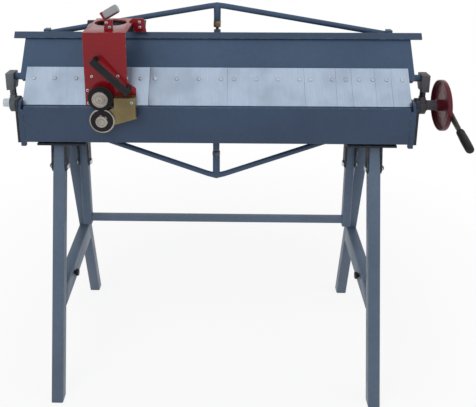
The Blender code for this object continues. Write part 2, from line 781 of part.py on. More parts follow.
def truss_tube(end_x, end_z, apex_z, y, radius):
    """A round tube bent at the middle, with straight arms, cut upright at its ends."""
    slope = (apex_z - end_z) / end_x
    bend = TRUSS_BEND_HALF
    sag = slope * bend * TRUSS_BEND_SAG_SHARE
    path = (
        (-end_x, end_z), (-bend, apex_z - slope * bend), (0.0, apex_z - sag),
        (bend, apex_z - slope * bend), (end_x, end_z),
    )
    shape = bmesh.new()
    rings = []
    for x, z in path:
        ring = []
        for step in range(SMALL_SIDES):
            angle = math.tau * step / SMALL_SIDES
            ring.append(shape.verts.new((x, y + radius * math.cos(angle), z + radius * math.sin(angle))))
        rings.append([shape.edges.new((ring[k], ring[(k + 1) % SMALL_SIDES])) for k in range(SMALL_SIDES)])
    for near, far in zip(rings, rings[1:]):
        bmesh.ops.bridge_loops(shape, edges=near + far)
    bmesh.ops.holes_fill(shape, edges=rings[0] + rings[-1], sides=SMALL_SIDES)
    bmesh.ops.recalc_face_normals(shape, faces=shape.faces)
    return shape, apex_z - sag


def build_lower_beam(paints):
    """Table plate with webs and ribs, the end cheeks and the lower truss."""
    top = BEND_HEIGHT - GAP
    under = top - TABLE_THICK
    section = (
        (TABLE_FRONT, top), (TABLE_BACK, top), (TABLE_BACK, under), (REAR_WEB_Y + WEB_THICK, under),
        (REAR_WEB_Y + WEB_THICK, BEAM_BOTTOM), (REAR_WEB_Y, BEAM_BOTTOM), (REAR_WEB_Y, under),
        (FRONT_WEB_Y + WEB_THICK, under), (FRONT_WEB_Y + WEB_THICK, BEAM_BOTTOM), (FRONT_WEB_Y, BEAM_BOTTOM),
        (FRONT_WEB_Y, under), (TABLE_FRONT, under),
    )
    shapes = [prism(section, "X", -TABLE_HALF, TABLE_HALF)]
    rib_front = FRONT_WEB_Y + WEB_THICK - OVERLAP
    rib_back = REAR_WEB_Y + OVERLAP
    rib_top = under + OVERLAP
    for side in (-1, 1):
        ends = sorted((side * (TABLE_HALF - WEB_THICK), side * TABLE_HALF))
        shapes.append(box((ends[0], rib_front, TABLE_RIB_LOW), (ends[1], rib_back, rib_top)))
        ends = sorted((side * TABLE_RIB_PLACE, side * (TABLE_RIB_PLACE + TABLE_RIB_THICK)))
        shapes.append(box((ends[0], rib_front, TABLE_RIB_LOW), (ends[1], rib_back, rib_top)))
        ends = sorted((side * (LOWER_TRUSS_END + GAP), side * (TABLE_HALF - WEB_THICK + OVERLAP)))
        shapes.append(box(
            (ends[0], rib_front, LOWER_TRUSS_END_Z - TRUSS_BLOCK_HALF),
            (ends[1], LOWER_TRUSS_Y + TRUSS_BLOCK_HALF, LOWER_TRUSS_END_Z + TRUSS_BLOCK_HALF),
        ))
    centre_rib = (
        (rib_front, rib_top), (rib_front, LOWER_LUG_LOW), (LOWER_TRUSS_Y + LOWER_LUG_HALF, LOWER_LUG_LOW),
        (LOWER_TRUSS_Y + LOWER_LUG_HALF * 2.0, TABLE_RIB_LOW), (rib_back, TABLE_RIB_LOW), (rib_back, rib_top),
    )
    shapes.append(prism(centre_rib, "X", -LOWER_LUG_HALF, LOWER_LUG_HALF))
    cuts = [
        x_rod(-WORK_LENGTH / 2.0, WORK_LENGTH / 2.0, SHAFT_Y, SHAFT_Z, RIB_HOLE_RADIUS),
        rod((0.0, LOWER_TRUSS_Y, LOWER_LUG_LOW - GAP), (0.0, 0.0, 1.0), STUD_RADIUS + GAP,
            LOWER_STUD_TOP - LOWER_LUG_LOW + GAP * 2.0),
    ]
    piece("lower_beam", shapes, paints["beam"], cuts=cuts)

    for side, label in ((-1, "left"), (1, "right")):
        eye = arc((0.0, BEND_HEIGHT), CHEEK_EYE_RADIUS, math.radians(20.0), math.radians(225.0), 12)
        outline = [(CHEEK_BACK, CHEEK_TOP), *eye, (CHEEK_FRONT, CHEEK_LOW), (CHEEK_BACK, CHEEK_LOW)]
        shapes = [
            prism(outline, "X", CHEEK_INNER, CHEEK_OUTER),
            box((PAD_INNER, PAD_FRONT, PAD_LOW), (CHEEK_INNER + OVERLAP, PAD_BACK, PAD_TOP)),
        ]
        shapes.append(x_rod(HINGE_PIN_INNER, HINGE_PIN_OUTER, 0.0, BEND_HEIGHT, PIN_RADIUS))
        shapes.append(x_rod(CHEEK_OUTER - OVERLAP, HINGE_PIN_OUTER, 0.0, BEND_HEIGHT, HINGE_PIN_HEAD_RADIUS))
        cuts = [
            x_rod(PAD_INNER - OVERLAP, CHEEK_OUTER + OVERLAP, SHAFT_Y, SHAFT_Z, BUSH_RADIUS + GAP, ROUND_SIDES),
        ]
        if side < 0:
            shapes = [mirrored(shape) for shape in shapes]
            cuts = [mirrored(shape) for shape in cuts]
        piece(f"cheek_{label}", shapes, paints["dark"], cuts=cuts)

    profile = (
        (SHAFT_RADIUS + GAP, 0.0), (BUSH_RADIUS, 0.0), (BUSH_RADIUS, BUSH_OUTER - BUSH_INNER),
        (SHAFT_RADIUS + GAP, BUSH_OUTER - BUSH_INNER),
    )
    for side, label in ((-1, "left"), (1, "right")):
        bush = turned(profile, ROUND_SIDES, (BUSH_INNER, SHAFT_Y, SHAFT_Z), (1.0, 0.0, 0.0))
        piece(f"shaft_bush_{label}", [bush if side > 0 else mirrored(bush)], paints["bronze"])

    tube, apex = truss_tube(LOWER_TRUSS_END, LOWER_TRUSS_END_Z, LOWER_APEX, LOWER_TRUSS_Y, LOWER_TRUSS_RADIUS)
    sleeve = rod((0.0, LOWER_TRUSS_Y, apex), (0.0, 0.0, 1.0), SLEEVE_RADIUS, LOWER_SLEEVE_TOP - apex)
    bore = rod((0.0, LOWER_TRUSS_Y, LOWER_STUD_LOW - OVERLAP), (0.0, 0.0, 1.0), STUD_RADIUS + GAP,
               LOWER_SLEEVE_TOP - LOWER_STUD_LOW + OVERLAP * 2.0)
    piece("lower_truss", [tube, sleeve], paints["beam"], cuts=[bore])
    stud = rod((0.0, LOWER_TRUSS_Y, LOWER_STUD_LOW), (0.0, 0.0, 1.0), STUD_RADIUS,
               LOWER_STUD_TOP - LOWER_STUD_LOW)
    nut = hexagon((0.0, LOWER_TRUSS_Y, LOWER_NUT_LOW), (0.0, 0.0, 1.0), STUD_NUT_RADIUS,
                  LOWER_NUT_TOP - LOWER_NUT_LOW)
    piece("lower_truss_stud", [stud, nut], paints["dark_steel"])


def build_leaf(paints):
    """Bending leaf with its end arms and the hinge pins."""
    axis = pivot("leaf_axis", (0.0, 0.0, BEND_HEIGHT))
    top = BEND_HEIGHT - LEAF_TOP_DROP
    section = (
        (LEAF_FRONT, LEAF_LOW), (LEAF_FRONT, top), (LEAF_BACK, top), (LEAF_BACK, top - LEAF_THICK),
        (LEAF_FRONT + LEAF_THICK, top - LEAF_THICK), (LEAF_FRONT + LEAF_THICK, LEAF_LOW),
    )
    piece("leaf", [prism(section, "X", -LEAF_HALF, LEAF_HALF)], paints["leaf"], parent=axis)
    for side, label in ((-1, "left"), (1, "right")):
        eye = arc((0.0, BEND_HEIGHT), ARM_EYE_RADIUS, math.radians(-20.0), math.radians(180.0), 12)
        outline = [(ARM_BACK, ARM_LOW), *eye, (LEAF_FRONT, BEND_HEIGHT - ARM_EYE_RADIUS), (LEAF_FRONT, ARM_LOW)]
        shapes = [
            prism(outline, "X", ARM_INNER, ARM_OUTER),
            box((ARM_STRIP_INNER, LEAF_FRONT, ARM_LOW), (ARM_INNER + OVERLAP, LEAF_FRONT + LEAF_THICK,
                                                         ARM_STRIP_TOP)),
            box((ARM_STRIP_INNER, LEAF_FRONT, ARM_LUG_LOW), (ARM_LUG_OUTER, ARM_LUG_BACK, ARM_LOW + OVERLAP)),
        ]
        cuts = [x_rod(ARM_INNER - OVERLAP, ARM_OUTER + OVERLAP, 0.0, BEND_HEIGHT, PIN_RADIUS + GAP)]
        if side < 0:
            shapes = [mirrored(shape) for shape in shapes]
            cuts = [mirrored(shape) for shape in cuts]
        piece(f"leaf_arm_{label}", shapes, paints["leaf"], cuts=cuts, parent=axis)


def lean_screw(x, rise):
    """The button head of a screw drawn tight on the leaning face, with its round socket."""
    normal = (0.0, -math.cos(LEAN), math.sin(LEAN))
    profile = (
        (0.0, -SCREW_SUNK), (SCREW_HEAD_RADIUS, -SCREW_SUNK),
        (SCREW_HEAD_RADIUS, SCREW_HEAD_HIGH * SCREW_RIM_SHARE),
        (SCREW_SOCKET_RADIUS, SCREW_HEAD_HIGH), (SCREW_SOCKET_RADIUS, SCREW_HEAD_HIGH - SCREW_SOCKET_DEEP),
        (0.0, SCREW_HEAD_HIGH - SCREW_SOCKET_DEEP),
    )
    return turned(profile, SCREW_SIDES, (x, *lean_point(rise, 0.0)), normal)


def build_clamp_beam(paints):
    """Leaning panel with flanges and ribs, the rail, segments, screws and the upper truss."""
    lift = pivot("beam_lift_axis", (0.0, SHAFT_Y, SHAFT_Z))
    front = SEGMENT_THICK + GAP
    back = front + PANEL_THICK
    section = (
        lean_at_height(BEAM_FOOT_LOW, front), lean_point(PANEL_TOP_RISE, front),
        lean_point(PANEL_TOP_RISE, back), lean_at_height(BEAM_FLANGE_TOP, back),
        (BEAM_FLANGE_BACK, BEAM_FLANGE_TOP), (BEAM_FLANGE_BACK, BEAM_FLANGE_TOP - BEAM_FLANGE_THICK),
        lean_at_height(BEAM_FLANGE_TOP - BEAM_FLANGE_THICK, back),
        lean_at_height(BEAM_FOOT_LOW + BEAM_FOOT_THICK, back),
        (BEAM_FOOT_BACK, BEAM_FOOT_LOW + BEAM_FOOT_THICK), (BEAM_FOOT_BACK, BEAM_FOOT_LOW),
    )
    shapes = [prism(section, "X", -PANEL_HALF, PANEL_HALF)]
    inset = back - OVERLAP
    rib_low = BEAM_FOOT_LOW + OVERLAP
    rib_top = BEAM_FLANGE_TOP - OVERLAP
    rib = (
        lean_at_height(rib_low, inset), lean_at_height(rib_top, inset),
        (BEAM_FLANGE_BACK - BEAM_RIB_THICK, rib_top), (BEAM_FOOT_BACK - BEAM_RIB_THICK, rib_low),
    )
    boss_centre = (SHAFT_Y, LUG_PIN_Z)
    lug_arc = arc(boss_centre, LUG_PLATE_RADIUS, math.radians(-130.0), math.radians(-10.0), 6)
    end_rib = [
        lean_at_height(LUG_PIN_Z, inset), *lug_arc, (BEAM_FLANGE_BACK - BEAM_RIB_THICK, rib_top),
        lean_at_height(rib_top, inset),
    ]
    places = [(-BEAM_RIB_THICK / 2.0, BEAM_RIB_THICK / 2.0)]
    for side in (-1, 1):
        places.append(tuple(sorted((side * BEAM_RIB_PLACE, side * (BEAM_RIB_PLACE + BEAM_RIB_THICK)))))
        outer = BEAM_INNER_END - OVERLAP
        places.append(tuple(sorted((side * (outer - BEAM_RIB_THICK), side * outer))))
    shapes += [prism(rib, "X", low, high) for low, high in places]

    corner_low = BEAM_CORNER_RISE
    corner_cut = BEAM_CORNER_CUT
    cuts = []
    block_z = BEAM_FLANGE_TOP - OVERLAP
    for side in (-1, 1):
        plate_outer = PANEL_HALF - OVERLAP
        plate = prism(end_rib, "X", plate_outer - END_PLATE_THICK, plate_outer)
        boss = x_rod(plate_outer - OVERLAP, LUG_BOSS_OUTER, SHAFT_Y, LUG_PIN_Z, LUG_BOSS_RADIUS, ROUND_SIDES)
        block = box(
            (UPPER_TRUSS_END + GAP, UPPER_TRUSS_Y - TRUSS_BLOCK_HALF, block_z),
            (UPPER_TRUSS_END + TRUSS_END_BLOCK, UPPER_TRUSS_Y + TRUSS_BLOCK_HALF,
             UPPER_TRUSS_END_Z + TRUSS_BLOCK_HALF),
        )
        bore = x_rod(plate_outer - END_PLATE_THICK - OVERLAP, LUG_BOSS_OUTER + OVERLAP, SHAFT_Y, LUG_PIN_Z,
                     LUG_PIN_RADIUS + GAP, ROUND_SIDES)
        corner = bmesh.new()
        outline = (
            (BEAM_INNER_END, -corner_low), (BEAM_INNER_END, corner_low - corner_cut),
            (BEAM_INNER_END + corner_cut, corner_low), (PANEL_HALF + OVERLAP, corner_low),
            (PANEL_HALF + OVERLAP, -corner_low),
        )
        ring = [corner.verts.new((x, *lean_point(rise, -OVERLAP))) for x, rise in outline]
        grown = bmesh.ops.extrude_face_region(corner, geom=[corner.faces.new(ring)])
        moved = [item for item in grown["geom"] if isinstance(item, bmesh.types.BMVert)]
        deep = back + OVERLAP * 2.0
        bmesh.ops.translate(corner, verts=moved, vec=(0.0, deep * math.cos(LEAN), -deep * math.sin(LEAN)))
        bmesh.ops.recalc_face_normals(corner, faces=corner.faces)
        foot = box(
            (BEAM_INNER_END, 0.0, BEAM_FOOT_LOW - OVERLAP),
            (PANEL_HALF + OVERLAP, BEAM_FOOT_BACK + OVERLAP, BEAM_FOOT_LOW + BEAM_FOOT_THICK + OVERLAP),
        )
        group = [plate, boss, block]
        takes = [bore, corner, foot]
        if side < 0:
            group = [mirrored(shape) for shape in group]
            takes = [mirrored(shape) for shape in takes]
        shapes += group
        cuts += takes
    shapes.append(rod((0.0, UPPER_TRUSS_Y, block_z), (0.0, 0.0, 1.0), UPPER_BOSS_RADIUS,
                      UPPER_BOSS_TOP - block_z, SMALL_SIDES))
    cuts.append(rod((0.0, UPPER_TRUSS_Y, UPPER_STUD_LOW - GAP), (0.0, 0.0, 1.0), STUD_RADIUS + GAP,
                    UPPER_BOSS_TOP - UPPER_STUD_LOW + GAP * 4.0))

    half = WORK_LENGTH / 2.0
    piece("clamp_beam", shapes, paints["beam"], cuts=cuts, parent=lift)

    rail_front = front - RAIL_THICK - GAP
    rail = prism(
        (
            lean_point(RAIL_LOW_RISE, rail_front), lean_point(RAIL_TOP_RISE, rail_front),
            lean_point(RAIL_TOP_RISE, rail_front + RAIL_THICK),
            lean_point(RAIL_LOW_RISE, rail_front + RAIL_THICK),
        ),
        "X", -RAIL_HALF, RAIL_HALF,
    )
    piece("guide_rail", [bevelled(rail, RAIL_BEVEL, 1, runs_along(0))], paints["rail"], parent=lift)

    left = -half
    total = sum(SEGMENT_SHARES)
    for number, share in enumerate(SEGMENT_SHARES, start=1):
        right = left + WORK_LENGTH * share / total
        low = left + GAP / 2.0
        high = right - GAP / 2.0
        outline = (
            lean_at_height(BEND_HEIGHT, 0.0), lean_point(SEGMENT_HEIGHT - SEGMENT_TOP_CHAMFER, 0.0),
            lean_point(SEGMENT_HEIGHT, SEGMENT_TOP_CHAMFER), lean_point(SEGMENT_HEIGHT, SEGMENT_THICK),
            lean_at_height(BEND_HEIGHT, SEGMENT_THICK),
        )
        heads = [lean_screw(spot * half, SCREW_RISE) for spot in SCREW_SHARES if low < spot * half < high]
        piece(f"segment_{number}", [prism(outline, "X", low, high), *heads], paints["segment"], parent=lift)
        left = right

    tube, apex = truss_tube(UPPER_TRUSS_END, UPPER_TRUSS_END_Z, UPPER_APEX, UPPER_TRUSS_Y, UPPER_TRUSS_RADIUS)
    sleeve = rod((0.0, UPPER_TRUSS_Y, UPPER_SLEEVE_LOW), (0.0, 0.0, 1.0), SLEEVE_RADIUS,
                 apex - UPPER_SLEEVE_LOW)
    bore = rod((0.0, UPPER_TRUSS_Y, UPPER_SLEEVE_LOW - OVERLAP), (0.0, 0.0, 1.0), STUD_RADIUS + GAP,
               UPPER_STUD_TOP - UPPER_SLEEVE_LOW + OVERLAP + GAP)
    piece("upper_truss", [tube, sleeve], paints["beam"], cuts=[bore], parent=lift)
    stud = rod((0.0, UPPER_TRUSS_Y, UPPER_STUD_LOW), (0.0, 0.0, 1.0), STUD_RADIUS,
               UPPER_STUD_TOP - UPPER_STUD_LOW)
    nut = hexagon((0.0, UPPER_TRUSS_Y, UPPER_NUT_LOW), (0.0, 0.0, 1.0), STUD_NUT_RADIUS,
                  UPPER_NUT_TOP - UPPER_NUT_LOW)
    piece("upper_truss_stud", [stud, nut], paints["bronze"], parent=lift)

    profile = (
        (0.0, 0.0), (LUG_PIN_RADIUS, 0.0), (LUG_PIN_RADIUS, LUG_PIN_HEAD - LUG_PIN_INNER),
        (LUG_BOSS_RADIUS, LUG_PIN_HEAD - LUG_PIN_INNER), (LUG_BOSS_RADIUS, LUG_PIN_OUTER - LUG_PIN_INNER),
        (0.0, LUG_PIN_OUTER - LUG_PIN_INNER),
    )
    for side, label in ((-1, "left"), (1, "right")):
        pin = turned(profile, ROUND_SIDES, (LUG_PIN_INNER, SHAFT_Y, LUG_PIN_Z), (1.0, 0.0, 0.0))
        piece(f"lug_pin_{label}", [pin if side > 0 else mirrored(pin)], paints["steel"], parent=lift)
    return lift


def build_links(paints, lift):
    """Link block, stud with its nut and strap at each end."""
    low_z = SHAFT_Z - ECCENTRICITY
    for side, label in ((-1, "left"), (1, "right")):
        axis = pivot(f"link_axis_{label}", (side * LINK_X, SHAFT_Y, LUG_PIN_Z), parent=lift)
        outline = (
            (BLOCK_INNER, BLOCK_TOP), (BLOCK_INNER, BLOCK_LOW + BLOCK_CUT_HIGH),
            (BLOCK_INNER + BLOCK_CUT_WIDE, BLOCK_LOW), (BLOCK_OUTER, BLOCK_LOW), (BLOCK_OUTER, BLOCK_TOP),
        )
        block = prism(outline, "Y", SHAFT_Y - BLOCK_HALF_DEEP, SHAFT_Y + BLOCK_HALF_DEEP)
        block_cuts = [
            x_rod(BLOCK_INNER - OVERLAP, BLOCK_OUTER + OVERLAP, SHAFT_Y, LUG_PIN_Z, LUG_PIN_RADIUS + GAP,
                  ROUND_SIDES),
            rod((LINK_X, SHAFT_Y, BLOCK_LOW - OVERLAP), (0.0, 0.0, 1.0), STUD_RADIUS + GAP,
                BLOCK_HOLE_TOP - BLOCK_LOW + OVERLAP),
        ]
        stud = [
            rod((LINK_X, SHAFT_Y, LINK_STUD_LOW), (0.0, 0.0, 1.0), STUD_RADIUS, LINK_STUD_TOP - LINK_STUD_LOW),
            hexagon((LINK_X, SHAFT_Y, LINK_NUT_LOW), (0.0, 0.0, 1.0), LINK_NUT_RADIUS,
                    LINK_NUT_TOP - LINK_NUT_LOW),
        ]
        strap = [
            x_rod(STRAP_INNER, STRAP_OUTER, SHAFT_Y, low_z, STRAP_RADIUS, FINE_SIDES),
            box((STRAP_INNER, SHAFT_Y - STRAP_NECK_HALF, STRAP_NECK_LOW),
                (STRAP_OUTER, SHAFT_Y + STRAP_NECK_HALF, STRAP_TOP)),
        ]
        strap_cuts = [
            x_rod(STRAP_INNER - OVERLAP, STRAP_OUTER + OVERLAP, SHAFT_Y, low_z, STRAP_BORE, FINE_SIDES),
            rod((LINK_X, SHAFT_Y, STRAP_HOLE_LOW), (0.0, 0.0, 1.0), STUD_RADIUS + GAP,
                STRAP_TOP - STRAP_HOLE_LOW + OVERLAP),
        ]
        groups = [[block], block_cuts, stud, strap, strap_cuts]
        if side < 0:
            groups = [[mirrored(shape) for shape in group] for group in groups]
        piece(f"link_block_{label}", groups[0], paints["link"], cuts=groups[1], parent=axis)
        piece(f"link_stud_{label}", groups[2], paints["steel"], parent=axis)
        piece(f"strap_{label}", groups[3], paints["link"], cuts=groups[4], parent=axis)


def build_cam_shaft(paints):
    """Shaft with cam plates and eccentrics, end nut, sleeve, dished disc, lever and grip."""
    axis = pivot("cam_axis", (0.0, SHAFT_Y, SHAFT_Z))
    profile = (
        (0.0, -JOURNAL_LEFT), (JOURNAL_RADIUS, -JOURNAL_LEFT), (JOURNAL_RADIUS, -SHAFT_SHOULDER),
        (SHAFT_RADIUS, -SHAFT_SHOULDER), (SHAFT_RADIUS, SHAFT_SHOULDER), (JOURNAL_RADIUS, SHAFT_SHOULDER),
        (JOURNAL_RADIUS, JOURNAL_RIGHT), (0.0, JOURNAL_RIGHT),
    )
    shaft = turned(profile, ROUND_SIDES, (0.0, SHAFT_Y, SHAFT_Z), (1.0, 0.0, 0.0))
    piece("cam_shaft", [shaft], paints["steel"], parent=axis)

    bore = JOURNAL_RADIUS + GAP
    for side, label in ((-1, "left"), (1, "right")):
        outline = belt((SHAFT_Y, SHAFT_Z), CAM_HUB_RADIUS, (SHAFT_Y, SHAFT_Z - LOBE_REACH), LOBE_RADIUS, 14)
        shapes = [
            prism(outline, "X", CAM_INNER, CAM_OUTER),
            x_rod(CAM_OUTER - OVERLAP, ECCENTRIC_OUTER, SHAFT_Y, SHAFT_Z - ECCENTRICITY, ECCENTRIC_RADIUS,
                  FINE_SIDES),
        ]
        cuts = [x_rod(CAM_INNER - OVERLAP, ECCENTRIC_OUTER + OVERLAP, SHAFT_Y, SHAFT_Z, bore, ROUND_SIDES)]
        if side < 0:
            shapes = [mirrored(shape) for shape in shapes]
            cuts = [mirrored(shape) for shape in cuts]
        piece(f"cam_plate_{label}", shapes, paints["link"], cuts=cuts, parent=axis)

    along_x = (1.0, 0.0, 0.0)
    washer = x_rod(-WASHER_OUTER, -WASHER_INNER, SHAFT_Y, SHAFT_Z, WASHER_RADIUS, ROUND_SIDES)
    nut = hexagon((-END_NUT_OUTER, SHAFT_Y, SHAFT_Z), along_x, END_NUT_RADIUS,
                  END_NUT_OUTER - WASHER_OUTER + OVERLAP)
    hole = x_rod(-JOURNAL_LEFT - GAP, -WASHER_INNER + OVERLAP, SHAFT_Y, SHAFT_Z, bore, ROUND_SIDES)
    piece("end_nut", [washer, nut], paints["zinc"], cuts=[hole], parent=axis)

    profile = (
        (bore, WASHER_INNER), (WASHER_RADIUS, WASHER_INNER), (WASHER_RADIUS, WASHER_OUTER),
        (CAM_SLEEVE_RADIUS, WASHER_OUTER), (CAM_SLEEVE_RADIUS, SLEEVE_OUTER), (bore, SLEEVE_OUTER),
    )
    sleeve = turned(profile, ROUND_SIDES, (0.0, SHAFT_Y, SHAFT_Z), along_x)
    piece("cam_sleeve", [sleeve], paints["link"], parent=axis)

    profile = (
        (bore, DISC_HUB_INNER), (DISC_HUB_RADIUS, DISC_HUB_INNER), (DISC_HUB_RADIUS, DISC_WEB_INNER),
        (DISC_RADIUS - DISC_RIM_THICK, DISC_WEB_INNER), (DISC_RADIUS - DISC_RIM_THICK, DISC_RIM_INNER),
        (DISC_RADIUS, DISC_RIM_INNER), (DISC_RADIUS, DISC_WEB_OUTER), (DISC_HUB_RADIUS, DISC_WEB_OUTER),
        (DISC_HUB_RADIUS, DISC_HUB_OUTER), (bore, DISC_HUB_OUTER),
    )
    disc = turned(profile, FINE_SIDES, (0.0, SHAFT_Y, SHAFT_Z), along_x)
    piece("red_disc", [disc], paints["disc"], parent=axis)

    forward = (-math.cos(LEVER_DROP), -math.sin(LEVER_DROP))
    across = (-math.sin(LEVER_DROP), math.cos(LEVER_DROP))

    def lever_point(reach, off):
        return SHAFT_Y + forward[0] * reach + across[0] * off, SHAFT_Z + forward[1] * reach + across[1] * off

    heading = math.atan2(forward[1], forward[0])
    eye_start = heading + math.radians(70.0)
    eye = arc((SHAFT_Y, SHAFT_Z), LEVER_EYE_RADIUS, eye_start, heading + math.radians(290.0), 12)
    tang_start = LEVER_BAR_END + PLAY
    outline = [
        *eye,
        lever_point(LEVER_BAR_END - LEVER_HALF_WIDE, LEVER_HALF_WIDE),
        lever_point(LEVER_BAR_END - PLAY * 2.0, LEVER_TANG_HALF), lever_point(LEVER_TANG_END, LEVER_TANG_HALF),
        lever_point(LEVER_TANG_END, -LEVER_TANG_HALF), lever_point(LEVER_BAR_END - PLAY * 2.0, -LEVER_TANG_HALF),
        lever_point(LEVER_BAR_END - LEVER_HALF_WIDE, -LEVER_HALF_WIDE),
    ]
    bar = prism(outline, "X", LEVER_INNER, LEVER_OUTER)
    collar = x_rod(
        LEVER_OUTER - OVERLAP, LEVER_COLLAR_OUTER, SHAFT_Y, SHAFT_Z, LEVER_COLLAR_RADIUS, ROUND_SIDES,
    )
    hole = x_rod(LEVER_INNER - OVERLAP, LEVER_COLLAR_OUTER + OVERLAP, SHAFT_Y, SHAFT_Z, bore, ROUND_SIDES)
    piece("lever_bar", [bar, collar], paints["lever"], cuts=[hole], parent=axis)
    middle = (LEVER_INNER + LEVER_OUTER) / 2.0
    profile = (
        (0.0, tang_start), (GRIP_NECK_RADIUS, tang_start), (GRIP_RADIUS, tang_start + GRIP_ROUND),
        (GRIP_RADIUS, GRIP_END - GRIP_ROUND),
        (GRIP_RADIUS * GRIP_SHOULDER_SHARE, GRIP_END - GRIP_ROUND * GRIP_SHOULDER_LOW_SHARE),
        (GRIP_RADIUS * GRIP_TIP_SHARE, GRIP_END), (0.0, GRIP_END),
    )
    direction = (0.0, forward[0], forward[1])
    grip = turned(profile, ROUND_SIDES, (middle, SHAFT_Y, SHAFT_Z), direction)
    start = lever_point(tang_start - OVERLAP * 2.0, 0.0)
    tang_radius = math.hypot(LEVER_TANG_HALF, (LEVER_OUTER - LEVER_INNER) / 2.0) + GAP
    hole = rod((middle, *start), direction, tang_radius, GRIP_BORE_END - tang_start + OVERLAP * 2.0, SMALL_SIDES)
    piece("lever_grip", [grip], paints["black"], cuts=[hole], parent=axis)


def white_screw(x, z, front_y):
    """The head of a small screw drawn tight on a face that looks at the viewer."""
    profile = (
        (0.0, -WHITE_SUNK), (WHITE_HEAD_RADIUS, -WHITE_SUNK),
        (WHITE_HEAD_RADIUS, WHITE_HEAD_HIGH * WHITE_RIM_SHARE),
        (WHITE_HEAD_RADIUS * WHITE_TOP_SHARE, WHITE_HEAD_HIGH), (0.0, WHITE_HEAD_HIGH),
    )
    return turned(profile, SCREW_SIDES, (x, front_y, z), (0.0, -1.0, 0.0))


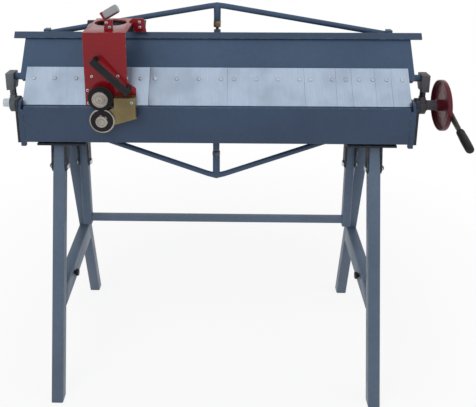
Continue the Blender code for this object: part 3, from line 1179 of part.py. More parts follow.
def build_carriage(paints, lift):
    """Slitting carriage: folded body, knives, handle, knob and the saddle on the rail."""
    travel = pivot("travel_axis", (KNIFE_X, 0.0, BEND_HEIGHT), parent=lift)
    lifter = pivot("lift_off_axis", (KNIFE_X, 0.0, BEND_HEIGHT), parent=travel)
    heads = [white_screw(x, z, CAR_FRONT) for x, z in FRONT_SCREWS]
    heads += [white_screw(x, z, STAND_OFF_FRONT) for x, z in STAND_OFF_SCREWS]
    heads += [white_screw(x, z, SIDE_PLATE_FRONT) for x, z in SIDE_PLATE_SCREWS]
    front_outline = (
        (CAR_LEFT, CAR_LOW), (CAR_RIGHT, CAR_LOW), (WING_X, WING_LOW), (WING_X, WING_HIGH),
        (CAR_RIGHT, WING_TOP), (CAR_RIGHT, CAR_TOP), (CAR_LEFT, CAR_TOP),
    )
    side_plate = (
        (SIDE_PLATE_LEFT, CAR_TOP - OVERLAP), (CAR_RIGHT, CAR_TOP - OVERLAP), (CAR_RIGHT, SIDE_PLATE_LOW),
        (SIDE_PLATE_RIGHT_LOW, SIDE_PLATE_LOW), (SIDE_PLATE_RIGHT_TOP, SIDE_PLATE_TOP),
        (SIDE_PLATE_KNEE, SIDE_PLATE_TOP),
    )
    arm_run = Vector((-math.sin(KNURL_TILT), math.cos(KNURL_TILT)))
    arm_side = Vector((-math.cos(KNURL_TILT), -math.sin(KNURL_TILT)))
    arm_foot = Vector((KNURL_X, STAND_OFF_SHELF))
    arm_tip = arm_foot + arm_run * KNURL_ARM_HIGH
    arm_back = arm_tip + arm_side * KNURL_ARM_THICK
    arm_root = arm_foot + arm_side * KNURL_ARM_THICK
    stand_off = (
        (STAND_OFF_LEFT, CAR_TOP - OVERLAP), (STAND_OFF_RIGHT, CAR_TOP - OVERLAP),
        (STAND_OFF_RIGHT, STAND_OFF_SHELF), tuple(arm_foot), tuple(arm_tip), tuple(arm_back), tuple(arm_root),
    )
    spindle_y = (STAND_OFF_FRONT + STAND_OFF_BACK) / 2.0
    spindle_centre = arm_foot + arm_run * (KNURL_ARM_HIGH / 2.0)
    knob_way = Vector((math.cos(KNURL_TILT), 0.0, math.sin(KNURL_TILT)))
    knob_face = Vector((spindle_centre.x, spindle_y, spindle_centre.y))
    facing = (0.0, -1.0, 0.0)
    spindle_root = -CAR_FRONT - OVERLAP
    boss_end = -UPPER_KNIFE_BACK - GAP
    spindle = (
        (0.0, spindle_root), (SPINDLE_BOSS_RADIUS, spindle_root), (SPINDLE_BOSS_RADIUS, boss_end),
        (SPINDLE_RADIUS, boss_end), (SPINDLE_RADIUS, -UPPER_SPINDLE_END), (0.0, -UPPER_SPINDLE_END),
    )
    shapes = [
        prism(front_outline, "Y", CAR_FRONT, CAR_FRONT + SHEET),
        box((CAR_LEFT, CAR_FRONT, CAR_TOP - SHEET), (CAR_RIGHT, CAR_BACK, CAR_TOP)),
        prism(side_plate, "Y", SIDE_PLATE_FRONT, SIDE_PLATE_FRONT + SHEET),
        prism(stand_off, "Y", STAND_OFF_FRONT, STAND_OFF_BACK),
        turned(spindle, ROUND_SIDES, (KNIFE_X, 0.0, UPPER_KNIFE_Z), facing),
        *heads,
    ]
    body_cuts = [
        rod((CAR_HOLE_X, CAR_HOLE_Y, CAR_TOP - SHEET * 2.0), (0.0, 0.0, 1.0), CAR_HOLE_RADIUS, SHEET * 3.0,
            FINE_SIDES),
        rod(knob_face - knob_way * (KNURL_SPINDLE_DEEP + GAP), knob_way, KNURL_SPINDLE_RADIUS + GAP,
            KNURL_SPINDLE_DEEP + OVERLAP),
    ]
    piece("carriage_body", shapes, paints["red"], cuts=body_cuts, parent=lifter)

    profile = (
        (0.0, -KNURL_SPINDLE_DEEP), (KNURL_SPINDLE_RADIUS, -KNURL_SPINDLE_DEEP), (KNURL_SPINDLE_RADIUS, GAP),
        (KNURL_RADIUS - KNURL_BEVEL, GAP), (KNURL_RADIUS, KNURL_BEVEL), (KNURL_RADIUS, KNURL_LONG - KNURL_BEVEL),
        (KNURL_RADIUS - KNURL_BEVEL, KNURL_LONG), (0.0, KNURL_LONG),
    )
    knob_pivot = pivot("knob_axis", tuple(knob_face), parent=lifter)
    knob = turned(profile, ROUND_SIDES, knob_face, knob_way)
    piece("knurled_knob", [knob], paints["knob"], parent=knob_pivot)

    high = Vector((HANDLE_HIGH_X, HANDLE_Y, HANDLE_HIGH_Z))
    low = Vector((HANDLE_LOW_X, HANDLE_Y, HANDLE_LOW_Z))
    run = low - high
    length = run.length
    profile = (
        (0.0, 0.0), (HANDLE_RADIUS - HANDLE_ROUND, 0.0), (HANDLE_RADIUS, HANDLE_ROUND),
        (HANDLE_RADIUS, length - HANDLE_ROUND), (HANDLE_RADIUS - HANDLE_ROUND, length), (0.0, length),
    )
    shapes = [turned(profile, ROUND_SIDES, high, run)]
    for share in (HANDLE_END_SHARE, 1.0 - HANDLE_END_SHARE):
        spot = high + run * share
        shapes.append(rod((spot.x, CAR_FRONT - GAP, spot.z), (0.0, -1.0, 0.0), HANDLE_STUB_RADIUS,
                          CAR_FRONT - GAP - HANDLE_Y))
    piece("grab_handle", shapes, paints["black"], parent=lifter)

    upper_axis = pivot("upper_knife_axis", (KNIFE_X, UPPER_KNIFE_BACK, UPPER_KNIFE_Z), parent=lifter)
    bore = SPINDLE_RADIUS + GAP
    dish_radius = UPPER_HUB_RADIUS * UPPER_HUB_DISH_SHARE
    profile = (
        (bore, -UPPER_KNIFE_BACK), (KNIFE_RADIUS - KNIFE_EDGE, -UPPER_KNIFE_BACK),
        (KNIFE_RADIUS, -UPPER_KNIFE_BACK + KNIFE_EDGE), (KNIFE_RADIUS, -UPPER_KNIFE_FRONT - KNIFE_EDGE),
        (KNIFE_RADIUS - KNIFE_EDGE, -UPPER_KNIFE_FRONT), (UPPER_HUB_RADIUS, -UPPER_KNIFE_FRONT),
        (UPPER_HUB_RADIUS, -UPPER_HUB_FRONT), (dish_radius, -UPPER_HUB_FRONT),
        (dish_radius, -UPPER_HUB_FRONT - UPPER_HUB_DISH), (0.0, -UPPER_HUB_FRONT - UPPER_HUB_DISH),
        (0.0, -UPPER_SPINDLE_END + GAP), (bore, -UPPER_SPINDLE_END + GAP),
    )
    knife = turned(profile, FINE_SIDES, (KNIFE_X, 0.0, UPPER_KNIFE_Z), facing)
    piece("upper_knife", [knife], paints["black_steel"], parent=upper_axis)

    lower_axis = pivot("lower_knife_axis", (KNIFE_X, LOWER_KNIFE_BACK, LOWER_KNIFE_Z), parent=lifter)
    knife = turned(
        (
            (bore, -LOWER_KNIFE_BACK), (KNIFE_RADIUS - KNIFE_EDGE, -LOWER_KNIFE_BACK),
            (KNIFE_RADIUS, -LOWER_KNIFE_BACK + KNIFE_EDGE), (KNIFE_RADIUS, -LOWER_KNIFE_FRONT),
            (bore, -LOWER_KNIFE_FRONT),
        ),
        FINE_SIDES, (KNIFE_X, 0.0, LOWER_KNIFE_Z), facing,
    )
    nut = hexagon((KNIFE_X, LOWER_KNIFE_FRONT + OVERLAP, LOWER_KNIFE_Z), facing, LOWER_NUT_RADIUS,
                  LOWER_KNIFE_FRONT + OVERLAP - LOWER_NUT_FRONT)
    hole = rod((KNIFE_X, LOWER_KNIFE_BACK + OVERLAP, LOWER_KNIFE_Z), facing, bore,
               LOWER_KNIFE_BACK + OVERLAP - LOWER_SPINDLE_END + GAP, ROUND_SIDES)
    piece("lower_knife", [knife, nut], paints["black_steel"], cuts=[hole], parent=lower_axis)

    tongue = (
        (CARRIER_LEFT, CARRIER_TOP), (CARRIER_LEFT, TONGUE_LEFT_LOW), (CARRIER_RIGHT, TONGUE_RIGHT_LOW),
        (CARRIER_RIGHT, CARRIER_TOP),
    )
    hub = arc((KNIFE_X, LOWER_KNIFE_Z), ARM_HUB_RADIUS, math.radians(110.0), math.radians(290.0), 10)
    outline = [
        *hub, (CARRIER_LEFT, ARM_LEFT_LOW), (CARRIER_RIGHT, ARM_RIGHT_LOW),
        (CARRIER_RIGHT, CARRIER_STEP + OVERLAP * 2.0),
        (CARRIER_LEFT, CARRIER_STEP + OVERLAP * 2.0),
    ]
    block = [
        prism(tongue, "Y", CARRIER_FRONT, ARM_PLATE_FRONT + OVERLAP),
        box((CARRIER_LEFT, ARM_PLATE_FRONT, CARRIER_STEP), (CARRIER_RIGHT, CAR_FRONT - GAP, CARRIER_TOP)),
        prism(outline, "Y", ARM_PLATE_FRONT, ARM_PLATE_BACK),
        rod((KNIFE_X, ARM_PLATE_FRONT + OVERLAP, LOWER_KNIFE_Z), facing, SPINDLE_RADIUS,
            ARM_PLATE_FRONT + OVERLAP - LOWER_SPINDLE_END, ROUND_SIDES),
    ]
    block += [white_screw(x, z, CARRIER_FRONT) for x, z in CARRIER_SCREWS]
    piece("knife_carrier", block, paints["yellow"], parent=lifter)

    # The saddle bar stays on the rail and carries both rollers
    rail_front = SEGMENT_THICK - RAIL_THICK
    centre_depth = rail_front + RAIL_THICK / 2.0
    centre_rise = RAIL_TOP_RISE + ROLLER_TREAD_RADIUS + GAP
    behind = (0.0, math.cos(LEAN), -math.sin(LEAN))
    outline = (
        lean_point(SADDLE_LOW_RISE, SADDLE_OFFSET), lean_at_height(SADDLE_TOP, SADDLE_OFFSET),
        (SADDLE_BACK, SADDLE_TOP), (SADDLE_BACK, SADDLE_TOP - SADDLE_SHEET),
        lean_at_height(SADDLE_TOP - SADDLE_SHEET, SADDLE_OFFSET + SADDLE_SHEET),
        lean_point(SADDLE_LOW_RISE, SADDLE_OFFSET + SADDLE_SHEET),
    )
    shapes = [prism(outline, "X", SADDLE_LEFT, SADDLE_RIGHT)]
    roller_half = ROLLER_GROOVE / 2.0 + ROLLER_FLANGE
    for x in (ROLLER_LEFT_X, ROLLER_RIGHT_X):
        front = centre_depth - roller_half - GAP - AXLE_HEAD_HIGH
        y, z = lean_point(centre_rise, front)
        shapes.append(turned(
            (
                (0.0, 0.0), (AXLE_HEAD_RADIUS, 0.0), (AXLE_HEAD_RADIUS, AXLE_HEAD_HIGH),
                (AXLE_RADIUS, AXLE_HEAD_HIGH), (AXLE_RADIUS, SADDLE_OFFSET - front + OVERLAP),
                (0.0, SADDLE_OFFSET - front + OVERLAP),
            ),
            SMALL_SIDES, (x, y, z), behind,
        ))
    piece("saddle", shapes, paints["dark"], parent=travel)
    half_groove = ROLLER_GROOVE / 2.0
    profile = (
        (ROLLER_BORE, -roller_half), (ROLLER_FLANGE_RADIUS, -roller_half), (ROLLER_FLANGE_RADIUS, -half_groove),
        (ROLLER_TREAD_RADIUS, -half_groove), (ROLLER_TREAD_RADIUS, half_groove),
        (ROLLER_FLANGE_RADIUS, half_groove), (ROLLER_FLANGE_RADIUS, roller_half), (ROLLER_BORE, roller_half),
    )
    for x, label in ((ROLLER_LEFT_X, "left"), (ROLLER_RIGHT_X, "right")):
        point = (x, *lean_point(centre_rise, centre_depth))
        axis = pivot(f"roller_axis_{label}", point, parent=travel)
        piece(f"roller_{label}", [turned(profile, ROUND_SIDES, point, behind)], paints["steel"], parent=axis)


def centre_on_floor():
    """Move the machine over the origin, which is in the middle of its length and depth."""
    middle_x = (JOURNAL_RIGHT - END_NUT_OUTER) / 2.0
    middle_y = (FRONT_FOOT_Y + REAR_FOOT_Y) / 2.0
    for item in bpy.context.scene.collection.objects:
        if item.parent is None:
            item.location -= Vector((middle_x, middle_y, 0.0))


def main():
    clear_scene()
    paints = {
        "frame": paint("frame_blue", FRAME_BLUE, 0.0, 0.45),
        "beam": paint("beam_blue", BEAM_BLUE, 0.0, 0.42),
        "leaf": paint("leaf_blue", BEAM_BLUE, 0.0, 0.40),
        "rail": paint("rail_blue", FRAME_BLUE, 0.0, 0.38),
        "dark": paint("dark_paint", DARK_STEEL, 0.1, 0.5),
        "segment": paint("segment_zinc", ZINC, 0.9, 0.35),
        "zinc": paint("fastener_zinc", ZINC, 0.9, 0.35),
        "steel": paint("bright_steel", STEEL, 0.9, 0.3),
        "dark_steel": paint("dark_steel", DARK_STEEL, 0.8, 0.45),
        "black_steel": paint("knife_black", BLACK, 0.6, 0.4),
        "link": paint("link_grey", LINK_GREY, 0.3, 0.5),
        "bronze": paint("bronze", BRONZE, 0.9, 0.35),
        "red": paint("carriage_red", CARRIAGE_RED, 0.0, 0.35),
        "disc": paint("disc_red", DISC_RED, 0.0, 0.4),
        "black": paint("black_grip", BLACK, 0.0, 0.5),
        "yellow": paint("yellow_zinc", YELLOW_ZINC, 0.8, 0.4),
        "knob": paint("knob_grey", STEEL, 0.7, 0.4),
        "lever": paint("lever_grey", LINK_GREY, 0.4, 0.45),
    }
    build_stand(paints)
    build_lower_beam(paints)
    build_leaf(paints)
    lift = build_clamp_beam(paints)
    build_links(paints, lift)
    build_cam_shaft(paints)
    build_carriage(paints, lift)
    centre_on_floor()


main()
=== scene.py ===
# %% [markdown]
# # A sheet metal brake, dressed
# The machine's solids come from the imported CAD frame. This lesson keeps their places and sizes and gives them
# what the eye expects: rounded edges, fine fasteners, and finishes such as sprayed paint and ground steel.

# %% Load the frame
import json
import math

import bmesh
import bpy
from mathutils import Matrix, Vector


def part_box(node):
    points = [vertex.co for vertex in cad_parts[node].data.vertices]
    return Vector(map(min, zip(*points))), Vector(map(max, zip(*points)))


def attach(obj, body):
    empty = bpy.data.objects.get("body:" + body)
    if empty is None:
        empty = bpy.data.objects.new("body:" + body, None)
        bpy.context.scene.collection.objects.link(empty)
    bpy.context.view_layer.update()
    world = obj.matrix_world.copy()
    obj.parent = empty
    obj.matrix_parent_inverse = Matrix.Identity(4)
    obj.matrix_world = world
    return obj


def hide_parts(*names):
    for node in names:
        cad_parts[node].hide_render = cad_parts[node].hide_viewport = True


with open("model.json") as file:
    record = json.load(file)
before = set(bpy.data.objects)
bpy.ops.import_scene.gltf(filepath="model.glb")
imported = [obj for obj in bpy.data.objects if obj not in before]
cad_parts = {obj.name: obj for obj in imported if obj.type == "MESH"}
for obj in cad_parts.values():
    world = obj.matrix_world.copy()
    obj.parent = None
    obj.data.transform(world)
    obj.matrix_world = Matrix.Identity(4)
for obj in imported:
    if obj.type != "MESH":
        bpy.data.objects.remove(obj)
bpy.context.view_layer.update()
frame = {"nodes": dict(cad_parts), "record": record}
nodes = frame["nodes"]
body_of_node = {n: b for b, names in frame["record"]["behaviour"]["bodies"].items() for n in names}
slot_of_node = {part["node"]: part["material_slot"] for part in frame["record"]["subparts"]}

# %% [markdown]
# ## Measures
# The brake is drawn round its bend line, the edge where sheet metal folds. X runs along it, from its middle.
# The frame's origin is in the middle of the machine's base instead, and one small step joins the two.
# The clamping face leans back, and many screws sit square on it, so it gets two directions of its own.

# %% Places from the bend line
MIDDLE = Vector((0.03125, 0.0970, 0.0))
BEND_HEIGHT = 0.997
LEAN = math.radians(36.5)
LEAN_UP = Vector((0.0, math.sin(LEAN), math.cos(LEAN)))
LEAN_OUT = Vector((0.0, -math.cos(LEAN), math.sin(LEAN)))
HALF_LENGTH = 0.65
SHAFT_Y = 0.102
SHAFT_Z = 0.968
TOWARDS_USER = Vector((0.0, -1.0, 0.0))
UP = Vector((0.0, 0.0, 1.0))
ALONG = Vector((1.0, 0.0, 0.0))


def at(x, y, z):
    """A place given from the bend line, in the frame's own coordinates."""
    return Vector((x, y, z)) - MIDDLE


def on_lean(x, rise, out=0.0):
    """A place on the leaning face, rise metres up it and out metres in front of it."""
    return at(x, 0.0, BEND_HEIGHT) + LEAN_UP * rise + LEAN_OUT * out


print("top of the leaning face:", tuple(round(v, 3) for v in on_lean(0.0, 0.264)))

# %% [markdown]
# ## Camera
# The photograph was taken from standing height, a little over two metres away. The camera looks slightly
# down, and the picture's middle lies below the line of sight, which a lens shift copies.

# %% Camera
PICTURE_WIDTH = 476.0
FOCAL_PIXELS = 600.0
SENSOR_WIDTH = 36.0
PITCH = 0.266
YAW = 0.0187
camera_data = bpy.data.cameras.new("studio_camera")
camera_data.sensor_width = SENSOR_WIDTH
camera_data.lens = FOCAL_PIXELS / PICTURE_WIDTH * SENSOR_WIDTH
camera_data.shift_x = 0.0467
camera_data.shift_y = -0.3026
camera = bpy.data.objects.new("studio_camera", camera_data)
bpy.context.scene.collection.objects.link(camera)
camera.location = at(0.0342, -1.887, 1.6712)
camera.rotation_euler = (math.pi / 2.0 - PITCH, 0.0, YAW)
bpy.context.scene.camera = camera
print("lens:", round(camera_data.lens, 2), "mm")

# %% [markdown]
# ## Light
# A cut-out picture has soft light from everywhere, with a little more from above and in front. The world
# gives the even part, and two large lamps give the direction. Glossy rays see plain white, as in a light tent.

# %% World and lamps
scene = bpy.context.scene
scene.view_settings.view_transform = "Standard"
world = bpy.data.worlds.new("light_tent")
scene.world = world
world.use_nodes = True
tree = world.node_tree
tree.nodes.clear()
WORLD_LEVEL = 0.60


def seen_directly(tree):
    """A value of 1 for rays that look at the background straight, in a reflection or through glass."""
    path = tree.nodes.new("ShaderNodeLightPath")
    first = tree.nodes.new("ShaderNodeMath")
    first.operation = "MAXIMUM"
    tree.links.new(path.outputs["Is Camera Ray"], first.inputs[0])
    tree.links.new(path.outputs["Is Glossy Ray"], first.inputs[1])
    both = tree.nodes.new("ShaderNodeMath")
    both.operation = "MAXIMUM"
    tree.links.new(first.outputs[0], both.inputs[0])
    tree.links.new(path.outputs["Is Transmission Ray"], both.inputs[1])
    return both.outputs[0]


world_out = tree.nodes.new("ShaderNodeOutputWorld")
world_mix = tree.nodes.new("ShaderNodeMixShader")
world_light = tree.nodes.new("ShaderNodeBackground")
world_light.inputs["Strength"].default_value = WORLD_LEVEL
world_seen = tree.nodes.new("ShaderNodeBackground")
world_seen.inputs["Color"].default_value = (1.0, 1.0, 1.0, 1.0)
world_light.inputs["Color"].default_value = (0.97, 0.98, 1.0, 1.0)
tree.links.new(seen_directly(tree), world_mix.inputs[0])
tree.links.new(world_light.outputs[0], world_mix.inputs[1])
tree.links.new(world_seen.outputs[0], world_mix.inputs[2])
tree.links.new(world_mix.outputs[0], world_out.inputs[0])


def soft_lamp(name, place, target, size, watts):
    """A large square lamp that looks at a target."""
    data = bpy.data.lights.new(name, "AREA")
    data.size = size
    data.energy = watts
    lamp = bpy.data.objects.new(name, data)
    bpy.context.scene.collection.objects.link(lamp)
    lamp.location = place
    lamp.rotation_euler = (Vector(target) - Vector(place)).to_track_quat("-Z", "Y").to_euler()
    lamp.visible_glossy = False
    return lamp


soft_lamp("lamp_above_front", (-1.2, -1.6, 3.2), (0.0, 0.0, 0.9), 2.0, 34.0)
soft_lamp("lamp_right", (2.6, -0.8, 1.9), (0.0, 0.0, 0.8), 1.6, 14.0)

# %% [markdown]
# ## Floor
# The floor is a pale sheet that catches the shadow. Seen directly it is mostly white, and it turns fully
# white away from the machine, so that no horizon shows.

# %% Floor
FLOOR_HALF = 30.0
FADE_START = 0.7
FADE_END = 1.9
WHITE_SHARE = 0.86
floor_shape = bmesh.new()
bmesh.ops.create_grid(floor_shape, x_segments=4, y_segments=4, size=FLOOR_HALF)
floor_mesh = bpy.data.meshes.new("floor")
floor_shape.to_mesh(floor_mesh)
floor_shape.free()
floor = bpy.data.objects.new("floor", floor_mesh)
scene.collection.objects.link(floor)
floor_finish = bpy.data.materials.new("pale_floor")
floor_finish.use_nodes = True
tree = floor_finish.node_tree
tree.nodes.clear()
coords = tree.nodes.new("ShaderNodeTexCoord")
distance = tree.nodes.new("ShaderNodeVectorMath")
distance.operation = "LENGTH"
fade = tree.nodes.new("ShaderNodeMapRange")
fade.inputs["From Min"].default_value = FADE_START
fade.inputs["From Max"].default_value = FADE_END
fade.inputs["To Min"].default_value = WHITE_SHARE
fade.inputs["To Max"].default_value = 1.0
seen = tree.nodes.new("ShaderNodeMath")
seen.operation = "MULTIPLY"
diffuse = tree.nodes.new("ShaderNodeBsdfDiffuse")
diffuse.inputs["Color"].default_value = (0.82, 0.82, 0.82, 1.0)
glow = tree.nodes.new("ShaderNodeEmission")
mix = tree.nodes.new("ShaderNodeMixShader")
out = tree.nodes.new("ShaderNodeOutputMaterial")
tree.links.new(coords.outputs["Object"], distance.inputs[0])
tree.links.new(distance.outputs["Value"], fade.inputs["Value"])
tree.links.new(fade.outputs[0], seen.inputs[0])
tree.links.new(seen_directly(tree), seen.inputs[1])
tree.links.new(seen.outputs[0], mix.inputs[0])
tree.links.new(diffuse.outputs[0], mix.inputs[1])
tree.links.new(glow.outputs[0], mix.inputs[2])
tree.links.new(mix.outputs[0], out.inputs[0])
floor.data.materials.append(floor_finish)
print("floor material:", floor_finish.name)

# %% [markdown]
# ## Shared effects
# Three effects return in most finishes. A paint film has a faint cloudiness, a fine orange-peel skin and bare
# spots on its edges. Worked metal has fine streaks in one direction and duller patches. A moulded skin has a
# fine grain. Each is a node group, so that every finish sets only its own values.

# %% Node group helpers
def new_group(name, inputs, outputs):
    """An empty shader group with named sockets."""
    group = bpy.data.node_groups.new(name, "ShaderNodeTree")
    for label, kind in inputs:
        group.interface.new_socket(name=label, in_out="INPUT", socket_type=kind)
    for label, kind in outputs:
        group.interface.new_socket(name=label, in_out="OUTPUT", socket_type=kind)
    return group, group.nodes.new("NodeGroupInput"), group.nodes.new("NodeGroupOutput")


def noise(tree, vector, scale, detail):
    """A noise texture read on a vector."""
    node = tree.nodes.new("ShaderNodeTexNoise")
    node.inputs["Scale"].default_value = scale
    node.inputs["Detail"].default_value = detail
    tree.links.new(vector, node.inputs["Vector"])
    return node.outputs["Fac"]


def spread(tree, value, low, high, to_low, to_high):
    """A value stretched from one range to another and kept inside it."""
    node = tree.nodes.new("ShaderNodeMapRange")
    node.inputs["From Min"].default_value = low
    node.inputs["From Max"].default_value = high
    node.inputs["To Min"].default_value = to_low
    node.inputs["To Max"].default_value = to_high
    tree.links.new(value, node.inputs["Value"])
    return node.outputs[0]


def product(tree, first, second):
    """Two values multiplied."""
    node = tree.nodes.new("ShaderNodeMath")
    node.operation = "MULTIPLY"
    tree.links.new(first, node.inputs[0])
    tree.links.new(second, node.inputs[1])
    return node.outputs[0]


def scaled_colour(tree, colour, value):
    """A colour made lighter or darker by a value."""
    node = tree.nodes.new("ShaderNodeVectorMath")
    node.operation = "SCALE"
    tree.links.new(colour, node.inputs[0])
    tree.links.new(value, node.inputs["Scale"])
    return node.outputs[0]


def blended(tree, share, first, second):
    """A mix of two colours."""
    node = tree.nodes.new("ShaderNodeMix")
    node.data_type = "RGBA"
    tree.links.new(share, node.inputs["Factor"])
    tree.links.new(first, node.inputs[6])
    tree.links.new(second, node.inputs[7])
    return node.outputs[2]


print("helpers ready")

# %% [markdown]
# The paint film multiplies its colour by a slow cloud and a fine speck. Where a noise is high and the edge
# mark is set, the bare metal's colour shows.

# %% Paint film
paint_film, film_in, film_out = new_group(
    "paint_film",
    (("Vector", "NodeSocketVector"), ("Edge", "NodeSocketFloat"), ("Colour", "NodeSocketColor"),
     ("Bare", "NodeSocketColor"), ("Rough", "NodeSocketFloat")),
    (("Colour", "NodeSocketColor"), ("Roughness", "NodeSocketFloat"), ("Height", "NodeSocketFloat"),
     ("Bare mask", "NodeSocketFloat")),
)
vector = film_in.outputs["Vector"]
cloud = spread(paint_film, noise(paint_film, vector, 5.0, 3.0), 0.3, 0.7, 0.90, 1.08)
speck = spread(paint_film, noise(paint_film, vector, 70.0, 2.0), 0.3, 0.7, 0.96, 1.04)
body_colour = scaled_colour(paint_film, film_in.outputs["Colour"], product(paint_film, cloud, speck))
chips = spread(paint_film, noise(paint_film, vector, 55.0, 4.0), 0.50, 0.60, 0.0, 0.75)
bare = product(paint_film, chips, film_in.outputs["Edge"])
paint_film.links.new(
    blended(paint_film, bare, body_colour, film_in.outputs["Bare"]), film_out.inputs["Colour"],
)
smear = spread(paint_film, noise(paint_film, vector, 9.0, 4.0), 0.3, 0.7, 0.85, 1.2)
paint_film.links.new(product(paint_film, smear, film_in.outputs["Rough"]), film_out.inputs["Roughness"])
paint_film.links.new(noise(paint_film, vector, 420.0, 1.0), film_out.inputs["Height"])
paint_film.links.new(bare, film_out.inputs["Bare mask"])
print("paint_film nodes:", len(paint_film.nodes))

# %% [markdown]
# The metal's streaks are one noise read on stretched coordinates. They steer the colour, the roughness and
# the relief together, as real grinding marks do.

# %% Worked metal
worked_metal, metal_in, metal_out = new_group(
    "worked_metal",
    (("Vector", "NodeSocketVector"), ("Stretch", "NodeSocketVector"), ("Edge", "NodeSocketFloat"),
     ("Colour", "NodeSocketColor"), ("Dull", "NodeSocketColor"), ("Rough", "NodeSocketFloat")),
    (("Colour", "NodeSocketColor"), ("Roughness", "NodeSocketFloat"), ("Height", "NodeSocketFloat")),
)
along_grain = worked_metal.nodes.new("ShaderNodeVectorMath")
along_grain.operation = "MULTIPLY"
worked_metal.links.new(metal_in.outputs["Vector"], along_grain.inputs[0])
worked_metal.links.new(metal_in.outputs["Stretch"], along_grain.inputs[1])
streak = noise(worked_metal, along_grain.outputs[0], 1.0, 3.0)
patch = spread(worked_metal, noise(worked_metal, metal_in.outputs["Vector"], 11.0, 4.0), 0.42, 0.70, 0.0, 0.7)
tone = spread(worked_metal, streak, 0.3, 0.7, 0.88, 1.10)
clean = scaled_colour(worked_metal, metal_in.outputs["Colour"], tone)
dulled = blended(worked_metal, patch, clean, metal_in.outputs["Dull"])
# Painted highlight: on the bevelled edges the metal's colour is made up to 1.18 times lighter, standing in for
# the line of light they catch.
painted_edge_highlight = spread(worked_metal, metal_in.outputs["Edge"], 0.0, 1.0, 1.0, 1.18)
worked_metal.links.new(scaled_colour(worked_metal, dulled, painted_edge_highlight), metal_out.inputs["Colour"])
matt = spread(worked_metal, streak, 0.3, 0.7, 0.80, 1.25)
worked_metal.links.new(product(worked_metal, matt, metal_in.outputs["Rough"]), metal_out.inputs["Roughness"])
worked_metal.links.new(streak, metal_out.inputs["Height"])
print("worked_metal nodes:", len(worked_metal.nodes))

# %% [markdown]
# The moulded skin has patches where hands have polished it, and a relief that is finer than either.

# %% Moulded skin
moulded_skin, skin_in, skin_out = new_group(
    "moulded_skin",
    (("Vector", "NodeSocketVector"), ("Colour", "NodeSocketColor"), ("Rough", "NodeSocketFloat")),
    (("Colour", "NodeSocketColor"), ("Roughness", "NodeSocketFloat"), ("Height", "NodeSocketFloat")),
)
handled = spread(moulded_skin, noise(moulded_skin, skin_in.outputs["Vector"], 30.0, 3.0), 0.3, 0.7, 0.8, 1.35)
moulded_skin.links.new(
    scaled_colour(moulded_skin, skin_in.outputs["Colour"], handled), skin_out.inputs["Colour"],
)
moulded_skin.links.new(product(moulded_skin, handled, skin_in.outputs["Rough"]), skin_out.inputs["Roughness"])
moulded_skin.links.new(noise(moulded_skin, skin_in.outputs["Vector"], 900.0, 2.0), skin_out.inputs["Height"])
print("moulded_skin nodes:", len(moulded_skin.nodes))

# %% [markdown]
# ## Finishes
# Every finish is one Principled shader, fed by a group. What is the same all over the surface, such as the
# metal share, stands on the shader itself.

# %% Finish builder
def finish(name, group, values, metallic=0.0, bump=0.1, bump_size=0.0004, specular=0.28, coat=0.0):
    """A material that feeds one shader from a shared group."""
    material = bpy.data.materials.new(name)
    material.use_nodes = True
    tree = material.node_tree
    shader = tree.nodes["Principled BSDF"]
    shader.inputs["Metallic"].default_value = metallic
    shader.inputs["Specular IOR Level"].default_value = specular
    shader.inputs["Coat Weight"].default_value = coat
    shader.inputs["Coat Roughness"].default_value = 0.12
    effect = tree.nodes.new("ShaderNodeGroup")
    effect.node_tree = group
    places = tree.nodes.new("ShaderNodeTexCoord")
    tree.links.new(places.outputs["Object"], effect.inputs["Vector"])
    for label, value in values.items():
        effect.inputs[label].default_value = value
    if "Edge" in effect.inputs:
        edge = tree.nodes.new("ShaderNodeAttribute")
        edge.attribute_name = "edge"
        tree.links.new(edge.outputs["Fac"], effect.inputs["Edge"])
    tree.links.new(effect.outputs["Colour"], shader.inputs["Base Color"])
    tree.links.new(effect.outputs["Roughness"], shader.inputs["Roughness"])
    relief = tree.nodes.new("ShaderNodeBump")
    relief.inputs["Strength"].default_value = bump
    relief.inputs["Distance"].default_value = bump_size
    tree.links.new(effect.outputs["Height"], relief.inputs["Height"])
    tree.links.new(relief.outputs["Normal"], shader.inputs["Normal"])
    return material


def colour(red, green, blue):
    """A colour as a paint chart gives it, 0 to 255, turned to the shader's linear values."""
    def linear(value):
        value /= 255.0
        return value / 12.92 if value <= 0.04045 else ((value + 0.055) / 1.055) ** 2.4
    return (linear(red), linear(green), linear(blue), 1.0)


def painted(name, shade, bare_shade, rough, coat=0.0, bump=0.10):
    """Sprayed paint over steel."""
    values = {"Colour": shade, "Bare": bare_shade, "Rough": rough}
    return finish(name, paint_film, values, bump=bump, coat=coat)


def metal(name, shade, dull, rough, stretch, metallic=0.9, bump=0.08):
    """Worked metal with its grain along the axis that is stretched least."""
    values = {"Colour": shade, "Dull": dull, "Rough": rough, "Stretch": stretch}
    return finish(name, worked_metal, values, metallic=metallic, bump=bump, bump_size=0.0002)


def moulded(name, shade, rough, bump=0.25):
    """Moulded plastic or rubber."""
    return finish(name, moulded_skin, {"Colour": shade, "Rough": rough}, bump=bump, bump_size=0.0003)


